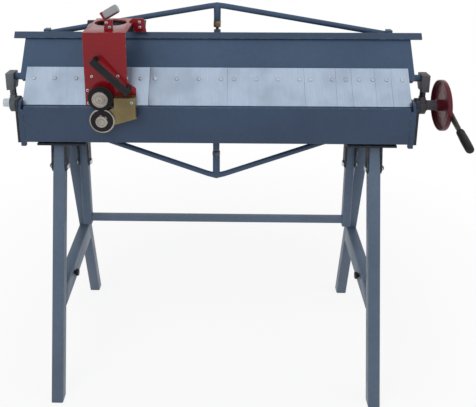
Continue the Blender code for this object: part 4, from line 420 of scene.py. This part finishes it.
BARE_STEEL = colour(118, 124, 130)
finishes = {
    "frame_blue": painted("frame_paint", colour(90, 105, 124), BARE_STEEL, 0.42),
    "beam_blue": painted("beam_paint", colour(62, 81, 106), BARE_STEEL, 0.40),
    "leaf_blue": painted("leaf_paint", colour(56, 73, 97), BARE_STEEL, 0.40),
    "rail_blue": painted("rail_paint", colour(58, 74, 96), BARE_STEEL, 0.36),
    "dark_paint": painted("dark_paint_coat", colour(38, 42, 50), BARE_STEEL, 0.50),
    "carriage_red": painted("carriage_red_coat", colour(128, 12, 24), BARE_STEEL, 0.30, coat=0.15, bump=0.05),
    "disc_red": painted("disc_red_coat", colour(88, 20, 34), BARE_STEEL, 0.36, coat=0.1, bump=0.05),
    "segment_zinc": metal("ground_zinc", colour(176, 191, 210), colour(152, 166, 184), 0.36,
                          (900.0, 18.0, 14.0)),
    "fastener_zinc": metal("zinc_fastener", colour(196, 204, 214), colour(150, 158, 168), 0.30,
                           (300.0, 300.0, 300.0)),
    "bright_steel": metal("turned_steel", colour(150, 152, 156), colour(104, 106, 110), 0.32,
                          (700.0, 60.0, 60.0)),
    "hub_steel": metal("hub_steel_turned", colour(160, 156, 148), colour(104, 98, 90), 0.28,
                       (60.0, 700.0, 60.0)),
    "dark_steel": metal("blackened_steel", colour(88, 92, 96), colour(60, 62, 64), 0.42,
                        (120.0, 120.0, 300.0)),
    "link_grey": metal("cast_link", colour(104, 110, 114), colour(80, 82, 84), 0.55, (160.0, 160.0, 160.0),
                       metallic=0.35, bump=0.3),
    "link_brown": metal("cast_link_brown", colour(84, 80, 86), colour(66, 62, 62), 0.55, (160.0, 160.0, 160.0),
                        metallic=0.35, bump=0.3),
    "lever_olive": metal("lever_flat_steel", colour(74, 74, 66), colour(58, 58, 52), 0.48, (60.0, 160.0, 160.0),
                         metallic=0.5, bump=0.2),
    "bronze": metal("bronze_turned", colour(140, 122, 96), colour(104, 90, 72), 0.34, (60.0, 60.0, 700.0)),
    "yellow_zinc": metal("yellow_passivated", colour(128, 116, 82), colour(98, 86, 62), 0.36,
                         (90.0, 90.0, 500.0), metallic=0.8),
    "knife_steel": metal("knife_black", colour(30, 27, 30), colour(20, 19, 20), 0.36, (80.0, 500.0, 80.0),
                         metallic=0.5),
    "black_grip": moulded("black_grip_skin", colour(15, 17, 20), 0.46),
}
print("finishes:", len(finishes))

# %% [markdown]
# ## Rounded edges on the CAD pieces
# A real edge is never perfectly sharp: it is rolled, ground or rounded by its paint, and it catches a thin
# line of light. Each CAD node is copied, its doubles merged and its flat faces joined, and its sharp edges get
# a narrow bevel. The bevel's faces carry an edge mark of 1: the paint film reads it for wear, and the worked
# metal reads it for a painted highlight, its colour made lighter along the edge.

# %% Softened copies
BEVEL_STEPS = 2


def add_piece(name, shape, body, slot, replaced=(), smooth_angle=38.0):
    """Turn a bmesh into a finished piece that rides on a body."""
    mesh = bpy.data.meshes.new(name)
    shape.to_mesh(mesh)
    shape.free()
    mesh.shade_smooth()
    mesh.set_sharp_from_angle(angle=math.radians(smooth_angle))
    item = bpy.data.objects.new(name, mesh)
    bpy.context.scene.collection.objects.link(item)
    item.data.materials.append(finishes[slot])
    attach(item, body)
    if replaced:
        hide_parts(*replaced)
    return item


def bevel_marked(shape, edges, width, segments):
    """Bevel edges and mark the faces that the bevel makes."""
    mark = shape.loops.layers.float.get("edge") or shape.loops.layers.float.new("edge")
    made = bmesh.ops.bevel(
        shape, geom=edges, offset=width, offset_type="OFFSET", segments=segments, profile=0.5,
        affect="EDGES", material=-1,
    )
    for face in made["faces"]:
        for corner in face.loops:
            corner[mark] = 1.0
    return shape


def sharp_edges(shape, angle=36.0):
    """Edges between two faces that meet at more than an angle, outside corners only."""
    return [
        edge for edge in shape.edges
        if len(edge.link_faces) == 2 and edge.is_convex and edge.calc_face_angle(0.0) > math.radians(angle)
    ]


def softened(node, width, slot=None):
    """A copy of a CAD node with narrow round edges, shown in its place."""
    shape = bmesh.new()
    shape.from_mesh(nodes[node].data)
    bmesh.ops.remove_doubles(shape, verts=shape.verts, dist=0.00001)
    bmesh.ops.dissolve_limit(
        shape, angle_limit=math.radians(0.6), use_dissolve_boundaries=False, verts=shape.verts,
        edges=shape.edges,
    )
    bevel_marked(shape, sharp_edges(shape), width, BEVEL_STEPS)
    finish_slot = slot or slot_of_node[node]
    item = add_piece(f"{node}_finished", shape, body_of_node[node], finish_slot, replaced=(node,))
    return item


SOFT_WIDTHS = {
    "front_post_left": 0.0006, "front_post_right": 0.0006, "rear_leg_left": 0.0006, "rear_leg_right": 0.0006,
    "hanging_frame": 0.0005, "brace_left": 0.0005, "brace_right": 0.0005, "base_plate_left": 0.0007,
    "base_plate_right": 0.0007, "lower_beam": 0.0008, "cheek_left": 0.0008, "cheek_right": 0.0008,
    "lower_truss": 0.0006, "leaf": 0.0009, "leaf_arm_left": 0.0007, "leaf_arm_right": 0.0007,
    "clamp_beam": 0.0009, "guide_rail": 0.0004, "upper_truss": 0.0006, "carriage_body": 0.0010,
    "knife_carrier": 0.0009, "saddle": 0.0007, "link_block_left": 0.0012, "link_block_right": 0.0012,
    "strap_left": 0.0008, "strap_right": 0.0008, "cam_plate_left": 0.0008, "cam_plate_right": 0.0008,
    "lever_bar": 0.0009,
}
OTHER_FINISH = {"leaf": "leaf_blue", "leaf_arm_left": "leaf_blue", "leaf_arm_right": "leaf_blue",
                "guide_rail": "rail_blue", "lever_bar": "lever_olive", "link_block_right": "link_brown",
                "strap_right": "link_brown", "cam_plate_right": "link_brown"}
for node, width in SOFT_WIDTHS.items():
    softened(node, width, slot=OTHER_FINISH.get(node))
print("softened nodes:", len(SOFT_WIDTHS))

# %% [markdown]
# ## Turned pieces
# Screws, nuts, knobs, knives and the disc all begin on a lathe. A profile of radius and height pairs is spun
# round the Z axis, and some of its rings can be pulled from a circle to a hexagon, as a nut's flats and a
# socket's walls are. The finished shape is then turned to its direction and moved to its place.

# %% Lathe helpers
SAME_RADIUS = 0.00001
NUT_FACE_SHARE = 0.96
NUT_SLOPE_SHARE = 0.85
THREAD_ROOT_SHARE = 0.88


def lathe(profile, steps, hexed=()):
    """A closed profile spun round Z. Rings with a radius in hexed become hexagons with that corner radius."""
    shape = bmesh.new()
    verts = [shape.verts.new((radius, 0.0, height)) for radius, height in profile]
    pairs = zip(verts, verts[1:] + verts[:1])
    edges = [shape.edges.new(pair) for pair in pairs if max(pair[0].co.x, pair[1].co.x) > 0.0]
    bmesh.ops.spin(
        shape, geom=verts + edges, cent=(0.0, 0.0, 0.0), axis=(0.0, 0.0, 1.0), angle=math.tau, steps=steps,
        use_merge=True,
    )
    bmesh.ops.remove_doubles(shape, verts=shape.verts, dist=0.000002)
    for vert in shape.verts:
        radius = math.hypot(vert.co.x, vert.co.y)
        for corner in hexed:
            if abs(radius - corner) < SAME_RADIUS:
                turn = math.atan2(vert.co.y, vert.co.x) % (math.pi / 3.0) - math.pi / 6.0
                share = math.cos(math.pi / 6.0) / math.cos(turn)
                vert.co.x *= share
                vert.co.y *= share
    bmesh.ops.recalc_face_normals(shape, faces=shape.faces)
    return shape


def aimed(shape, point, direction, spin=0.0):
    """Turn a shape made along Z to a direction and move it to a point."""
    turn = UP.rotation_difference(Vector(direction)).to_matrix().to_4x4()
    whole = Matrix.Translation(Vector(point)) @ turn @ Matrix.Rotation(spin, 4, "Z")
    bmesh.ops.transform(shape, matrix=whole, verts=shape.verts)
    return shape


def gathered(shapes):
    """Several shapes as one."""
    whole = bmesh.new()
    whole.loops.layers.float.new("edge")
    for shape in shapes:
        part = bpy.data.meshes.new("part")
        shape.to_mesh(part)
        shape.free()
        whole.from_mesh(part)
        bpy.data.meshes.remove(part)
    return whole


def hex_nut(corner, height, bore, chamfer=0.0012, steps=36):
    """A chamfered hexagonal nut or head with a round hole or dimple."""
    flat = corner * math.cos(math.pi / 6.0)
    low_ring = flat * NUT_FACE_SHARE
    profile = [(bore, 0.0), (low_ring, 0.0), (corner, chamfer), (corner, height - chamfer),
               (low_ring, height), (bore, height)]
    if bore == 0.0:
        profile = [(0.0, 0.0)] + profile[1:5] + [(0.0, height)]
    shape = lathe(profile, steps, hexed=(corner,))
    for vert in shape.verts:
        radius = math.hypot(vert.co.x, vert.co.y)
        if radius > flat - SAME_RADIUS:
            slide = chamfer * (1.0 - (radius - flat) / (corner - flat)) * NUT_SLOPE_SHARE
            vert.co.z += -slide if vert.co.z < height / 2.0 else slide
    return shape


def threaded(radius, pitch, start, end):
    """Profile points of a threaded bar between two heights."""
    turns = int((end - start) / pitch)
    points = []
    for turn in range(turns):
        low = start + turn * pitch
        points += [(radius * THREAD_ROOT_SHARE, low), (radius, low + pitch * 0.5)]
    return points + [(radius * THREAD_ROOT_SHARE, start + turns * pitch)]


print("lathe helpers ready")

# %% [markdown]
# ## Clamp segments
# The clamp beam holds nine hardened plates of different lengths, so that boxes of many widths can be folded.
# Each plate is one profile pushed along X, with its edges eased, which draws the thin lines between them.

# %% Segments
segment_profile = ((0.0, 0.0), (0.135, 0.0), (0.137, -0.002), (0.137, -0.012), (0.00888, -0.012))
SEGMENTS = 9
SEGMENT_BEVEL = 0.0009
for number in range(1, SEGMENTS + 1):
    node = f"segment_{number}"
    low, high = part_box(node)
    plate = bmesh.new()
    ring = [plate.verts.new(on_lean(low.x + MIDDLE.x, rise, out)) for rise, out in segment_profile]
    face = plate.faces.new(ring)
    grown = bmesh.ops.extrude_face_region(plate, geom=[face])
    moved = [item for item in grown["geom"] if isinstance(item, bmesh.types.BMVert)]
    bmesh.ops.translate(plate, verts=moved, vec=(high.x - low.x, 0.0, 0.0))
    bmesh.ops.recalc_face_normals(plate, faces=plate.faces)
    bevel_marked(plate, sharp_edges(plate), SEGMENT_BEVEL, BEVEL_STEPS)
    item = add_piece(f"{node}_ground", plate, "clamp", "segment_zinc", replaced=(node,))
print("segments:", SEGMENTS)

# %% [markdown]
# ## Segment screws
# A button-head screw has a low round head with a hexagonal socket. All 22 are the same, so one lathe profile
# serves them, and they ride on the clamp beam as one piece.

# %% Button heads
SCREW_SHARES = (
    -0.957, -0.847, -0.734, -0.617, -0.548, -0.472, -0.396, -0.320, -0.207, -0.0915, 0.0245,
    0.0913, 0.2068, 0.3203, 0.4334, 0.4896, 0.6033, 0.6718, 0.7414, 0.8114, 0.8833, 0.9642,
)
SCREW_RISE = 0.095
SOCKET_CORNER = 0.0036
button_profile = ((0.0, -0.0008), (0.0072, -0.0008), (0.0072, 0.0010), (0.0066, 0.0026), (0.0053, 0.0038),
                  (0.0040, 0.0043), (SOCKET_CORNER, 0.0042), (SOCKET_CORNER, 0.0022), (0.0, 0.0022))


def button_head(point, direction):
    """A button head that stands on a face."""
    return aimed(lathe(button_profile, 24, hexed=(SOCKET_CORNER,)), point, direction)


heads = [button_head(on_lean(share * HALF_LENGTH, SCREW_RISE), LEAN_OUT) for share in SCREW_SHARES]
screws = add_piece("segment_screws", gathered(heads), "clamp", "fastener_zinc")
print("segment screws:", len(heads))

# %% [markdown]
# ## Screws and bolts of the carriage and the stand
# The carriage's white screws are the same kind, a little smaller. The legs hang on bolts with hexagonal heads.

# %% Carriage screws and stand bolts
SMALL_HEAD_SHARES = (0.76, 0.76, 0.80)
COVER_Y = -0.022
UPRIGHT_Y = 0.004
BRACKET_Y = 0.1465
BLOCK_Y = -0.058


def small_head(x, y, z):
    """A small button head on a face that looks at the user."""
    shape = lathe(button_profile, 20, hexed=(SOCKET_CORNER,))
    bmesh.ops.scale(shape, vec=SMALL_HEAD_SHARES, verts=shape.verts)
    return aimed(shape, at(x, y, z), TOWARDS_USER)


carriage_heads = [small_head(x, COVER_Y, z) for x, z in
                  ((-0.4050, 1.1035), (-0.3195, 1.1050), (-0.4210, 1.0560), (-0.4205, 1.0120))]
carriage_heads += [small_head(x, UPRIGHT_Y, z) for x, z in ((-0.3540, 1.2770), (-0.3445, 1.2620))]
carriage_heads += [small_head(x, BRACKET_Y, z) for x, z in ((-0.2685, 1.2500), (-0.2674, 1.2318))]
carriage_heads += [small_head(-0.2720, BLOCK_Y, 1.0260)]
item = add_piece("carriage_screws", gathered(carriage_heads), "carriage", "fastener_zinc")

stand_bolts = []
for side in (-1.0, 1.0):
    for inner, outer, y, z in ((0.5137, 0.5643, 0.00884, 0.772), (0.5137, 0.5643, 0.18425, 0.772),
                               (0.4557, 0.4963, 0.100, 0.747)):
        for start, way in ((inner, -1.0), (outer, 1.0)):
            head = hex_nut(0.0119, 0.0058, 0.0)
            stand_bolts.append(aimed(head, at(side * start, y, z), ALONG * side * way))
item = add_piece("stand_bolt_heads", gathered(stand_bolts), "stand", "fastener_zinc")
print("carriage screws:", len(carriage_heads), "stand bolt heads:", len(stand_bolts))

# %% [markdown]
# ## Round knives
# Two hardened discs shear the sheet between them. The upper one carries a bright dished hub cap with rings,
# and the lower one a bright rim and a hexagonal nut. Black and bright parts are separate pieces.

# %% Knives
KNIFE_X = -0.374
UPPER = at(KNIFE_X, 0.0, 1.037)
LOWER = at(KNIFE_X, 0.0, 0.958)
cap = lathe((
    (0.0083, 0.0473), (0.0262, 0.0473), (0.0262, 0.0637), (0.0256, 0.0645), (0.0234, 0.0645), (0.0226, 0.0637),
    (0.0222, 0.0612), (0.0165, 0.0606), (0.0158, 0.0618), (0.0146, 0.0618), (0.0140, 0.0606), (0.0106, 0.0606),
    (0.0100, 0.0632), (0.0088, 0.0640), (0.0048, 0.0640), (0.0040, 0.0630), (0.0036, 0.0614), (0.0, 0.0612),
    (0.0, 0.0603), (0.0083, 0.0603),
), 64)
item = add_piece("upper_knife_cap", aimed(cap, UPPER, TOWARDS_USER), "upper_knife", "hub_steel",
                 replaced=("upper_knife",), smooth_angle=30.0)
blade = lathe((
    (0.0263, 0.0471), (0.0403, 0.0471), (0.0420, 0.0486), (0.0420, 0.0506), (0.0412, 0.0517), (0.0398, 0.0521),
    (0.0345, 0.0521), (0.0338, 0.0516), (0.0328, 0.0516), (0.0320, 0.0521), (0.0263, 0.0521),
), 96)
item = add_piece("upper_knife_blade", aimed(blade, UPPER, TOWARDS_USER), "upper_knife", "knife_steel")

rim = lathe((
    (0.0374, 0.0418), (0.0403, 0.0418), (0.0420, 0.0434), (0.0420, 0.0456), (0.0408, 0.0468), (0.0374, 0.0468),
), 96)
item = add_piece("lower_knife_rim", aimed(rim, LOWER, TOWARDS_USER), "lower_knife", "hub_steel")
disc = lathe((
    (0.0083, 0.0418), (0.0372, 0.0418), (0.0372, 0.0466), (0.0360, 0.0466), (0.0350, 0.0460), (0.0330, 0.0460),
    (0.0322, 0.0466), (0.0083, 0.0466),
), 96)
item = add_piece("lower_knife_disc", aimed(disc, LOWER, TOWARDS_USER), "lower_knife", "knife_steel",
                 replaced=("lower_knife",))
nut = lathe((
    (0.0083, 0.0467), (0.0196, 0.0467), (0.0205, 0.0480), (0.0205, 0.0546), (0.0192, 0.0562), (0.0128, 0.0562),
    (0.0122, 0.0550), (0.0098, 0.0550), (0.0090, 0.0566), (0.0040, 0.0570), (0.0034, 0.0556), (0.0, 0.0554),
    (0.0, 0.0533), (0.0083, 0.0533),
), 48, hexed=(0.0205,))
item = add_piece("lower_knife_nut", aimed(nut, LOWER, TOWARDS_USER, spin=0.2), "lower_knife", "hub_steel",
                 smooth_angle=30.0)
print("distance between the knives' axes:", round((UPPER - LOWER).length, 4))

# %% [markdown]
# ## Knurled knob
# A knurl is a net of small pyramids pressed into a turned knob, so that fingers hold it. On the lathe's net of
# squares every second corner is pulled in, which gives the same net.

# %% Knob
KNOB_STEPS = 48
KNOB_ROWS = 22
KNOB_RADIUS = 0.0150
KNURL_START = 0.0050
KNURL_LENGTH = 0.0400
KNURL_SHARE = 0.955
KNOB_TILT = math.radians(30.0)
rows = [(KNOB_RADIUS, KNURL_START + KNURL_LENGTH * row / KNOB_ROWS) for row in range(KNOB_ROWS + 1)]
knob = lathe([(0.0, -0.0060), (0.0040, -0.0060), (0.0040, 0.0003), (0.0128, 0.0003), (0.0140, 0.0012),
              (0.0140, 0.0044)] + rows + [(0.0140, 0.0456), (0.0140, 0.0488), (0.0128, 0.0500), (0.0060, 0.0500),
                                          (0.0052, 0.0492), (0.0, 0.0492)], KNOB_STEPS)
for vert in knob.verts:
    if abs(math.hypot(vert.co.x, vert.co.y) - KNOB_RADIUS) < SAME_RADIUS:
        step = round(math.atan2(vert.co.y, vert.co.x) / math.tau * KNOB_STEPS)
        row = round((vert.co.z - KNURL_START) / KNURL_LENGTH * KNOB_ROWS)
        if (step + row) % 2:
            vert.co.x *= KNURL_SHARE
            vert.co.y *= KNURL_SHARE
knob_way = Vector((math.cos(KNOB_TILT), 0.0, math.sin(KNOB_TILT)))
item = add_piece("knob_knurled", aimed(knob, at(-0.3605, 0.011, 1.29899), knob_way), "knob", "bright_steel",
                 replaced=("knurled_knob",), smooth_angle=20.0)
print("knurl points:", KNOB_STEPS * KNOB_ROWS // 2)

# %% [markdown]
# ## Handles
# The carriage's grab handle is a round black bar on two stubs. The lever's grip is a sleeve with a rounded end
# and two shallow rings at its neck.

# %% Grab handle and lever grip
high = at(-0.395, -0.070, 1.170)
run = at(-0.279, -0.070, 1.0595) - high
length = run.length
bar_profile = [(0.0, 0.0), (0.0060, 0.0002), (0.0090, 0.0014), (0.0108, 0.0038), (0.0115, 0.0072),
               (0.0115, length - 0.0072), (0.0108, length - 0.0038), (0.0090, length - 0.0014),
               (0.0060, length - 0.0002), (0.0, length)]
handle_parts = [aimed(lathe(bar_profile, 40), high, run)]
for share in (0.06, 0.94):
    spot = high + run * share
    foot = Vector((spot.x, at(0.0, -0.0223, 0.0).y, spot.z))
    stub = lathe((
        (0.0, 0.0), (0.0098, 0.0), (0.0098, 0.0020), (0.0078, 0.0032), (0.0074, 0.0430), (0.0, 0.0430),
    ), 28)
    handle_parts.append(aimed(stub, foot, TOWARDS_USER))
item = add_piece("grab_handle_bar", gathered(handle_parts), "carriage", "black_grip",
                 replaced=("grab_handle",))

DROP = math.radians(15.4)
lever_way = Vector((0.0, -math.cos(DROP), -math.sin(DROP)))
GRIP_START = 0.1505
GRIP_END = 0.2500
grip_profile = [(0.0058, GRIP_START), (0.0120, GRIP_START), (0.0128, 0.1515), (0.0131, 0.1535), (0.0126, 0.1552),
                (0.0126, 0.1562), (0.0138, 0.1580), (0.0138, 0.1600), (0.0131, 0.1618), (0.0133, 0.1640),
                (0.0141, 0.1760), (0.0145, 0.1950), (0.0144, 0.2200), (0.0140, 0.2380), (0.0131, 0.2450),
                (0.0110, 0.2484), (0.0075, 0.2498), (0.0, GRIP_END), (0.0, 0.2382), (0.0058, 0.2382)]
grip = aimed(lathe(grip_profile, 48), at(0.798, SHAFT_Y, SHAFT_Z), lever_way)
item = add_piece("lever_grip_sleeve", grip, "cam", "black_grip", replaced=("lever_grip",))
print("grip length:", round(GRIP_END - GRIP_START, 4))

# %% [markdown]
# ## Dished disc
# The red disc on the cam shaft is pressed sheet: a flat web, a rim that is rolled inwards and a turned hub.

# %% Disc
disc_profile = (
    (0.0063, 0.7643), (0.0190, 0.7643), (0.0200, 0.7653), (0.0200, 0.7852), (0.0212, 0.7865), (0.0400, 0.7865),
    (0.0430, 0.7850), (0.0460, 0.7850), (0.0490, 0.7865), (0.0840, 0.7865), (0.0858, 0.7850), (0.0858, 0.7770),
    (0.0846, 0.7756), (0.0850, 0.7747), (0.0868, 0.7745), (0.0884, 0.7752), (0.0890, 0.7768), (0.0890, 0.7885),
    (0.0882, 0.7900), (0.0868, 0.7905), (0.0490, 0.7905), (0.0460, 0.7888), (0.0430, 0.7888), (0.0400, 0.7905),
    (0.0212, 0.7905), (0.0200, 0.7912), (0.0200, 0.7928), (0.0193, 0.7935), (0.0063, 0.7935),
)
pressed = aimed(lathe(disc_profile, 128), at(0.0, SHAFT_Y, SHAFT_Z), ALONG)
item = add_piece("disc_pressed", pressed, "cam", "disc_red", replaced=("red_disc",), smooth_angle=30.0)
print("disc diameter:", round(2.0 * max(radius for radius, height in disc_profile), 4))

# %% [markdown]
# ## Studs and nuts
# Each truss is tightened against its beam by a nut on a stud, and each link has a lock nut. Their threads are
# rings on the lathe profile, as fine as the real pitch, and their nuts are chamfered hexagons.

# %% Studs and nuts
STUD_RADIUS = 0.0060
STUD_PITCH = 0.00175
THREAD_END = 0.0004


def stud_piece(name, node, x, y, low, high, nut_low, nut_high, corner, body, slot):
    """A threaded stud along Z with its nut."""
    length = high - low
    thread = threaded(STUD_RADIUS, STUD_PITCH, THREAD_END, length - THREAD_END)
    points = [(0.0, 0.0)] + thread + [(0.0, length)]
    stud = aimed(lathe(points, 24), at(x, y, low), UP)
    ring = aimed(hex_nut(corner, nut_high - nut_low, 0.0055), at(x, y, nut_low), UP, spin=0.3)
    item = add_piece(name, gathered([stud, ring]), body, slot, replaced=(node,), smooth_angle=28.0)
    return item


TRUSS_NUT = 0.0140
LINK_NUT = 0.0110
stud_piece("upper_truss_screw", "upper_truss_stud", 0.0, 0.237, 1.1850, 1.2620, 1.2146, 1.2389, TRUSS_NUT,
           "clamp", "bronze")
stud_piece("lower_truss_screw", "lower_truss_stud", 0.0, 0.050, 0.7700, 0.8400, 0.7968, 0.8123, TRUSS_NUT,
           "stand", "dark_steel")
for side, label in ((-1.0, "left"), (1.0, "right")):
    stud_piece(f"link_screw_{label}", f"link_stud_{label}", side * 0.714, SHAFT_Y, 0.9900, 1.0450, 1.0000,
               1.0214, LINK_NUT, f"link_{label}", "dark_steel")
    pin = lathe((
        (0.0, 0.0), (0.0080, 0.0), (0.0080, 0.0644), (0.0112, 0.0644), (0.0120, 0.0650), (0.0120, 0.0676),
        (0.0112, 0.0684), (0.0, 0.0684),
    ), 36)
    pin = aimed(pin, at(side * 0.6640, SHAFT_Y, 1.066), ALONG * side)
    item = add_piece(f"lug_pin_{label}_turned", pin, "clamp", "bright_steel", replaced=(f"lug_pin_{label}",))
end_washer = aimed(lathe(((0.0063, 0.0), (0.0209, 0.0), (0.0215, 0.0006), (0.0215, 0.0034), (0.0209, 0.0040),
                          (0.0063, 0.0040)), 48), at(-0.7283, SHAFT_Y, SHAFT_Z), ALONG)
end_nut = aimed(hex_nut(0.0165, 0.0217, 0.0063), at(-0.7500, SHAFT_Y, SHAFT_Z), ALONG, spin=0.26)
item = add_piece("end_nut_and_washer", gathered([end_washer, end_nut]), "cam", "fastener_zinc",
                 replaced=("end_nut",), smooth_angle=28.0)
sleeve = lathe(((0.0063, 0.7243), (0.0209, 0.7243), (0.0215, 0.7249), (0.0215, 0.7277), (0.0209, 0.7283),
                (0.0175, 0.7283), (0.0175, 0.7632), (0.0167, 0.7640), (0.0063, 0.7640)), 48)
sleeve = aimed(sleeve, at(0.0, SHAFT_Y, SHAFT_Z), ALONG)
item = add_piece("cam_sleeve_turned", sleeve, "cam", "link_brown", replaced=("cam_sleeve",))
for side, label in ((-1.0, "left"), (1.0, "right")):
    knob = lathe(((0.0, -0.0060), (0.0040, -0.0060), (0.0040, 0.0), (0.0068, 0.0), (0.0070, 0.0044),
                  (0.0112, 0.0050), (0.0124, 0.0062), (0.0125, 0.0140), (0.0116, 0.0156), (0.0080, 0.0160),
                  (0.0, 0.0160)), 32)
    item = add_piece(f"brace_knob_{label}_moulded", aimed(knob, at(side * 0.5187, 0.020, 0.341), ALONG * -side),
                     "stand", "black_grip", replaced=(f"brace_knob_{label}",))
print("studs, nuts, pins and knobs made")

# %% [markdown]
# ## Rollers
# Two flanged rollers run on the rail's top edge. They sit behind the carriage's red cover.

# %% Rollers
ROLLER_RISE = 0.2848
ROLLER_BEHIND = 0.00815
roller_profile = (
    (0.0042, -0.00665), (0.0168, -0.00665), (0.0175, -0.0060), (0.0175, -0.0046), (0.0171, -0.00415),
    (0.0140, -0.00415), (0.0140, 0.00415), (0.0171, 0.00415), (0.0175, 0.0046), (0.0175, 0.0060),
    (0.0168, 0.00665), (0.0042, 0.00665),
)
ROLLER_PLACES = (("left", -0.440), ("right", -0.275))
for label, x in ROLLER_PLACES:
    roller = aimed(lathe(roller_profile, 56), on_lean(x, ROLLER_RISE, -ROLLER_BEHIND), -LEAN_OUT)
    item = add_piece(f"roller_{label}_turned", roller, f"roller_{label}", "bright_steel",
                     replaced=(f"roller_{label}",))
print("rollers:", len(ROLLER_PLACES))

# %% [markdown]
# ## The nodes that keep their CAD solid
# The shaft and its bushes are plain turned parts already, so they only get their finish.

# %% Finishes on the remaining nodes
shown_nodes = [name for name in nodes if not nodes[name].hide_render]
for name in shown_nodes:
    nodes[name].data.materials.clear()
    nodes[name].data.materials.append(finishes[slot_of_node[name]])
print("nodes with their CAD solid:", shown_nodes)
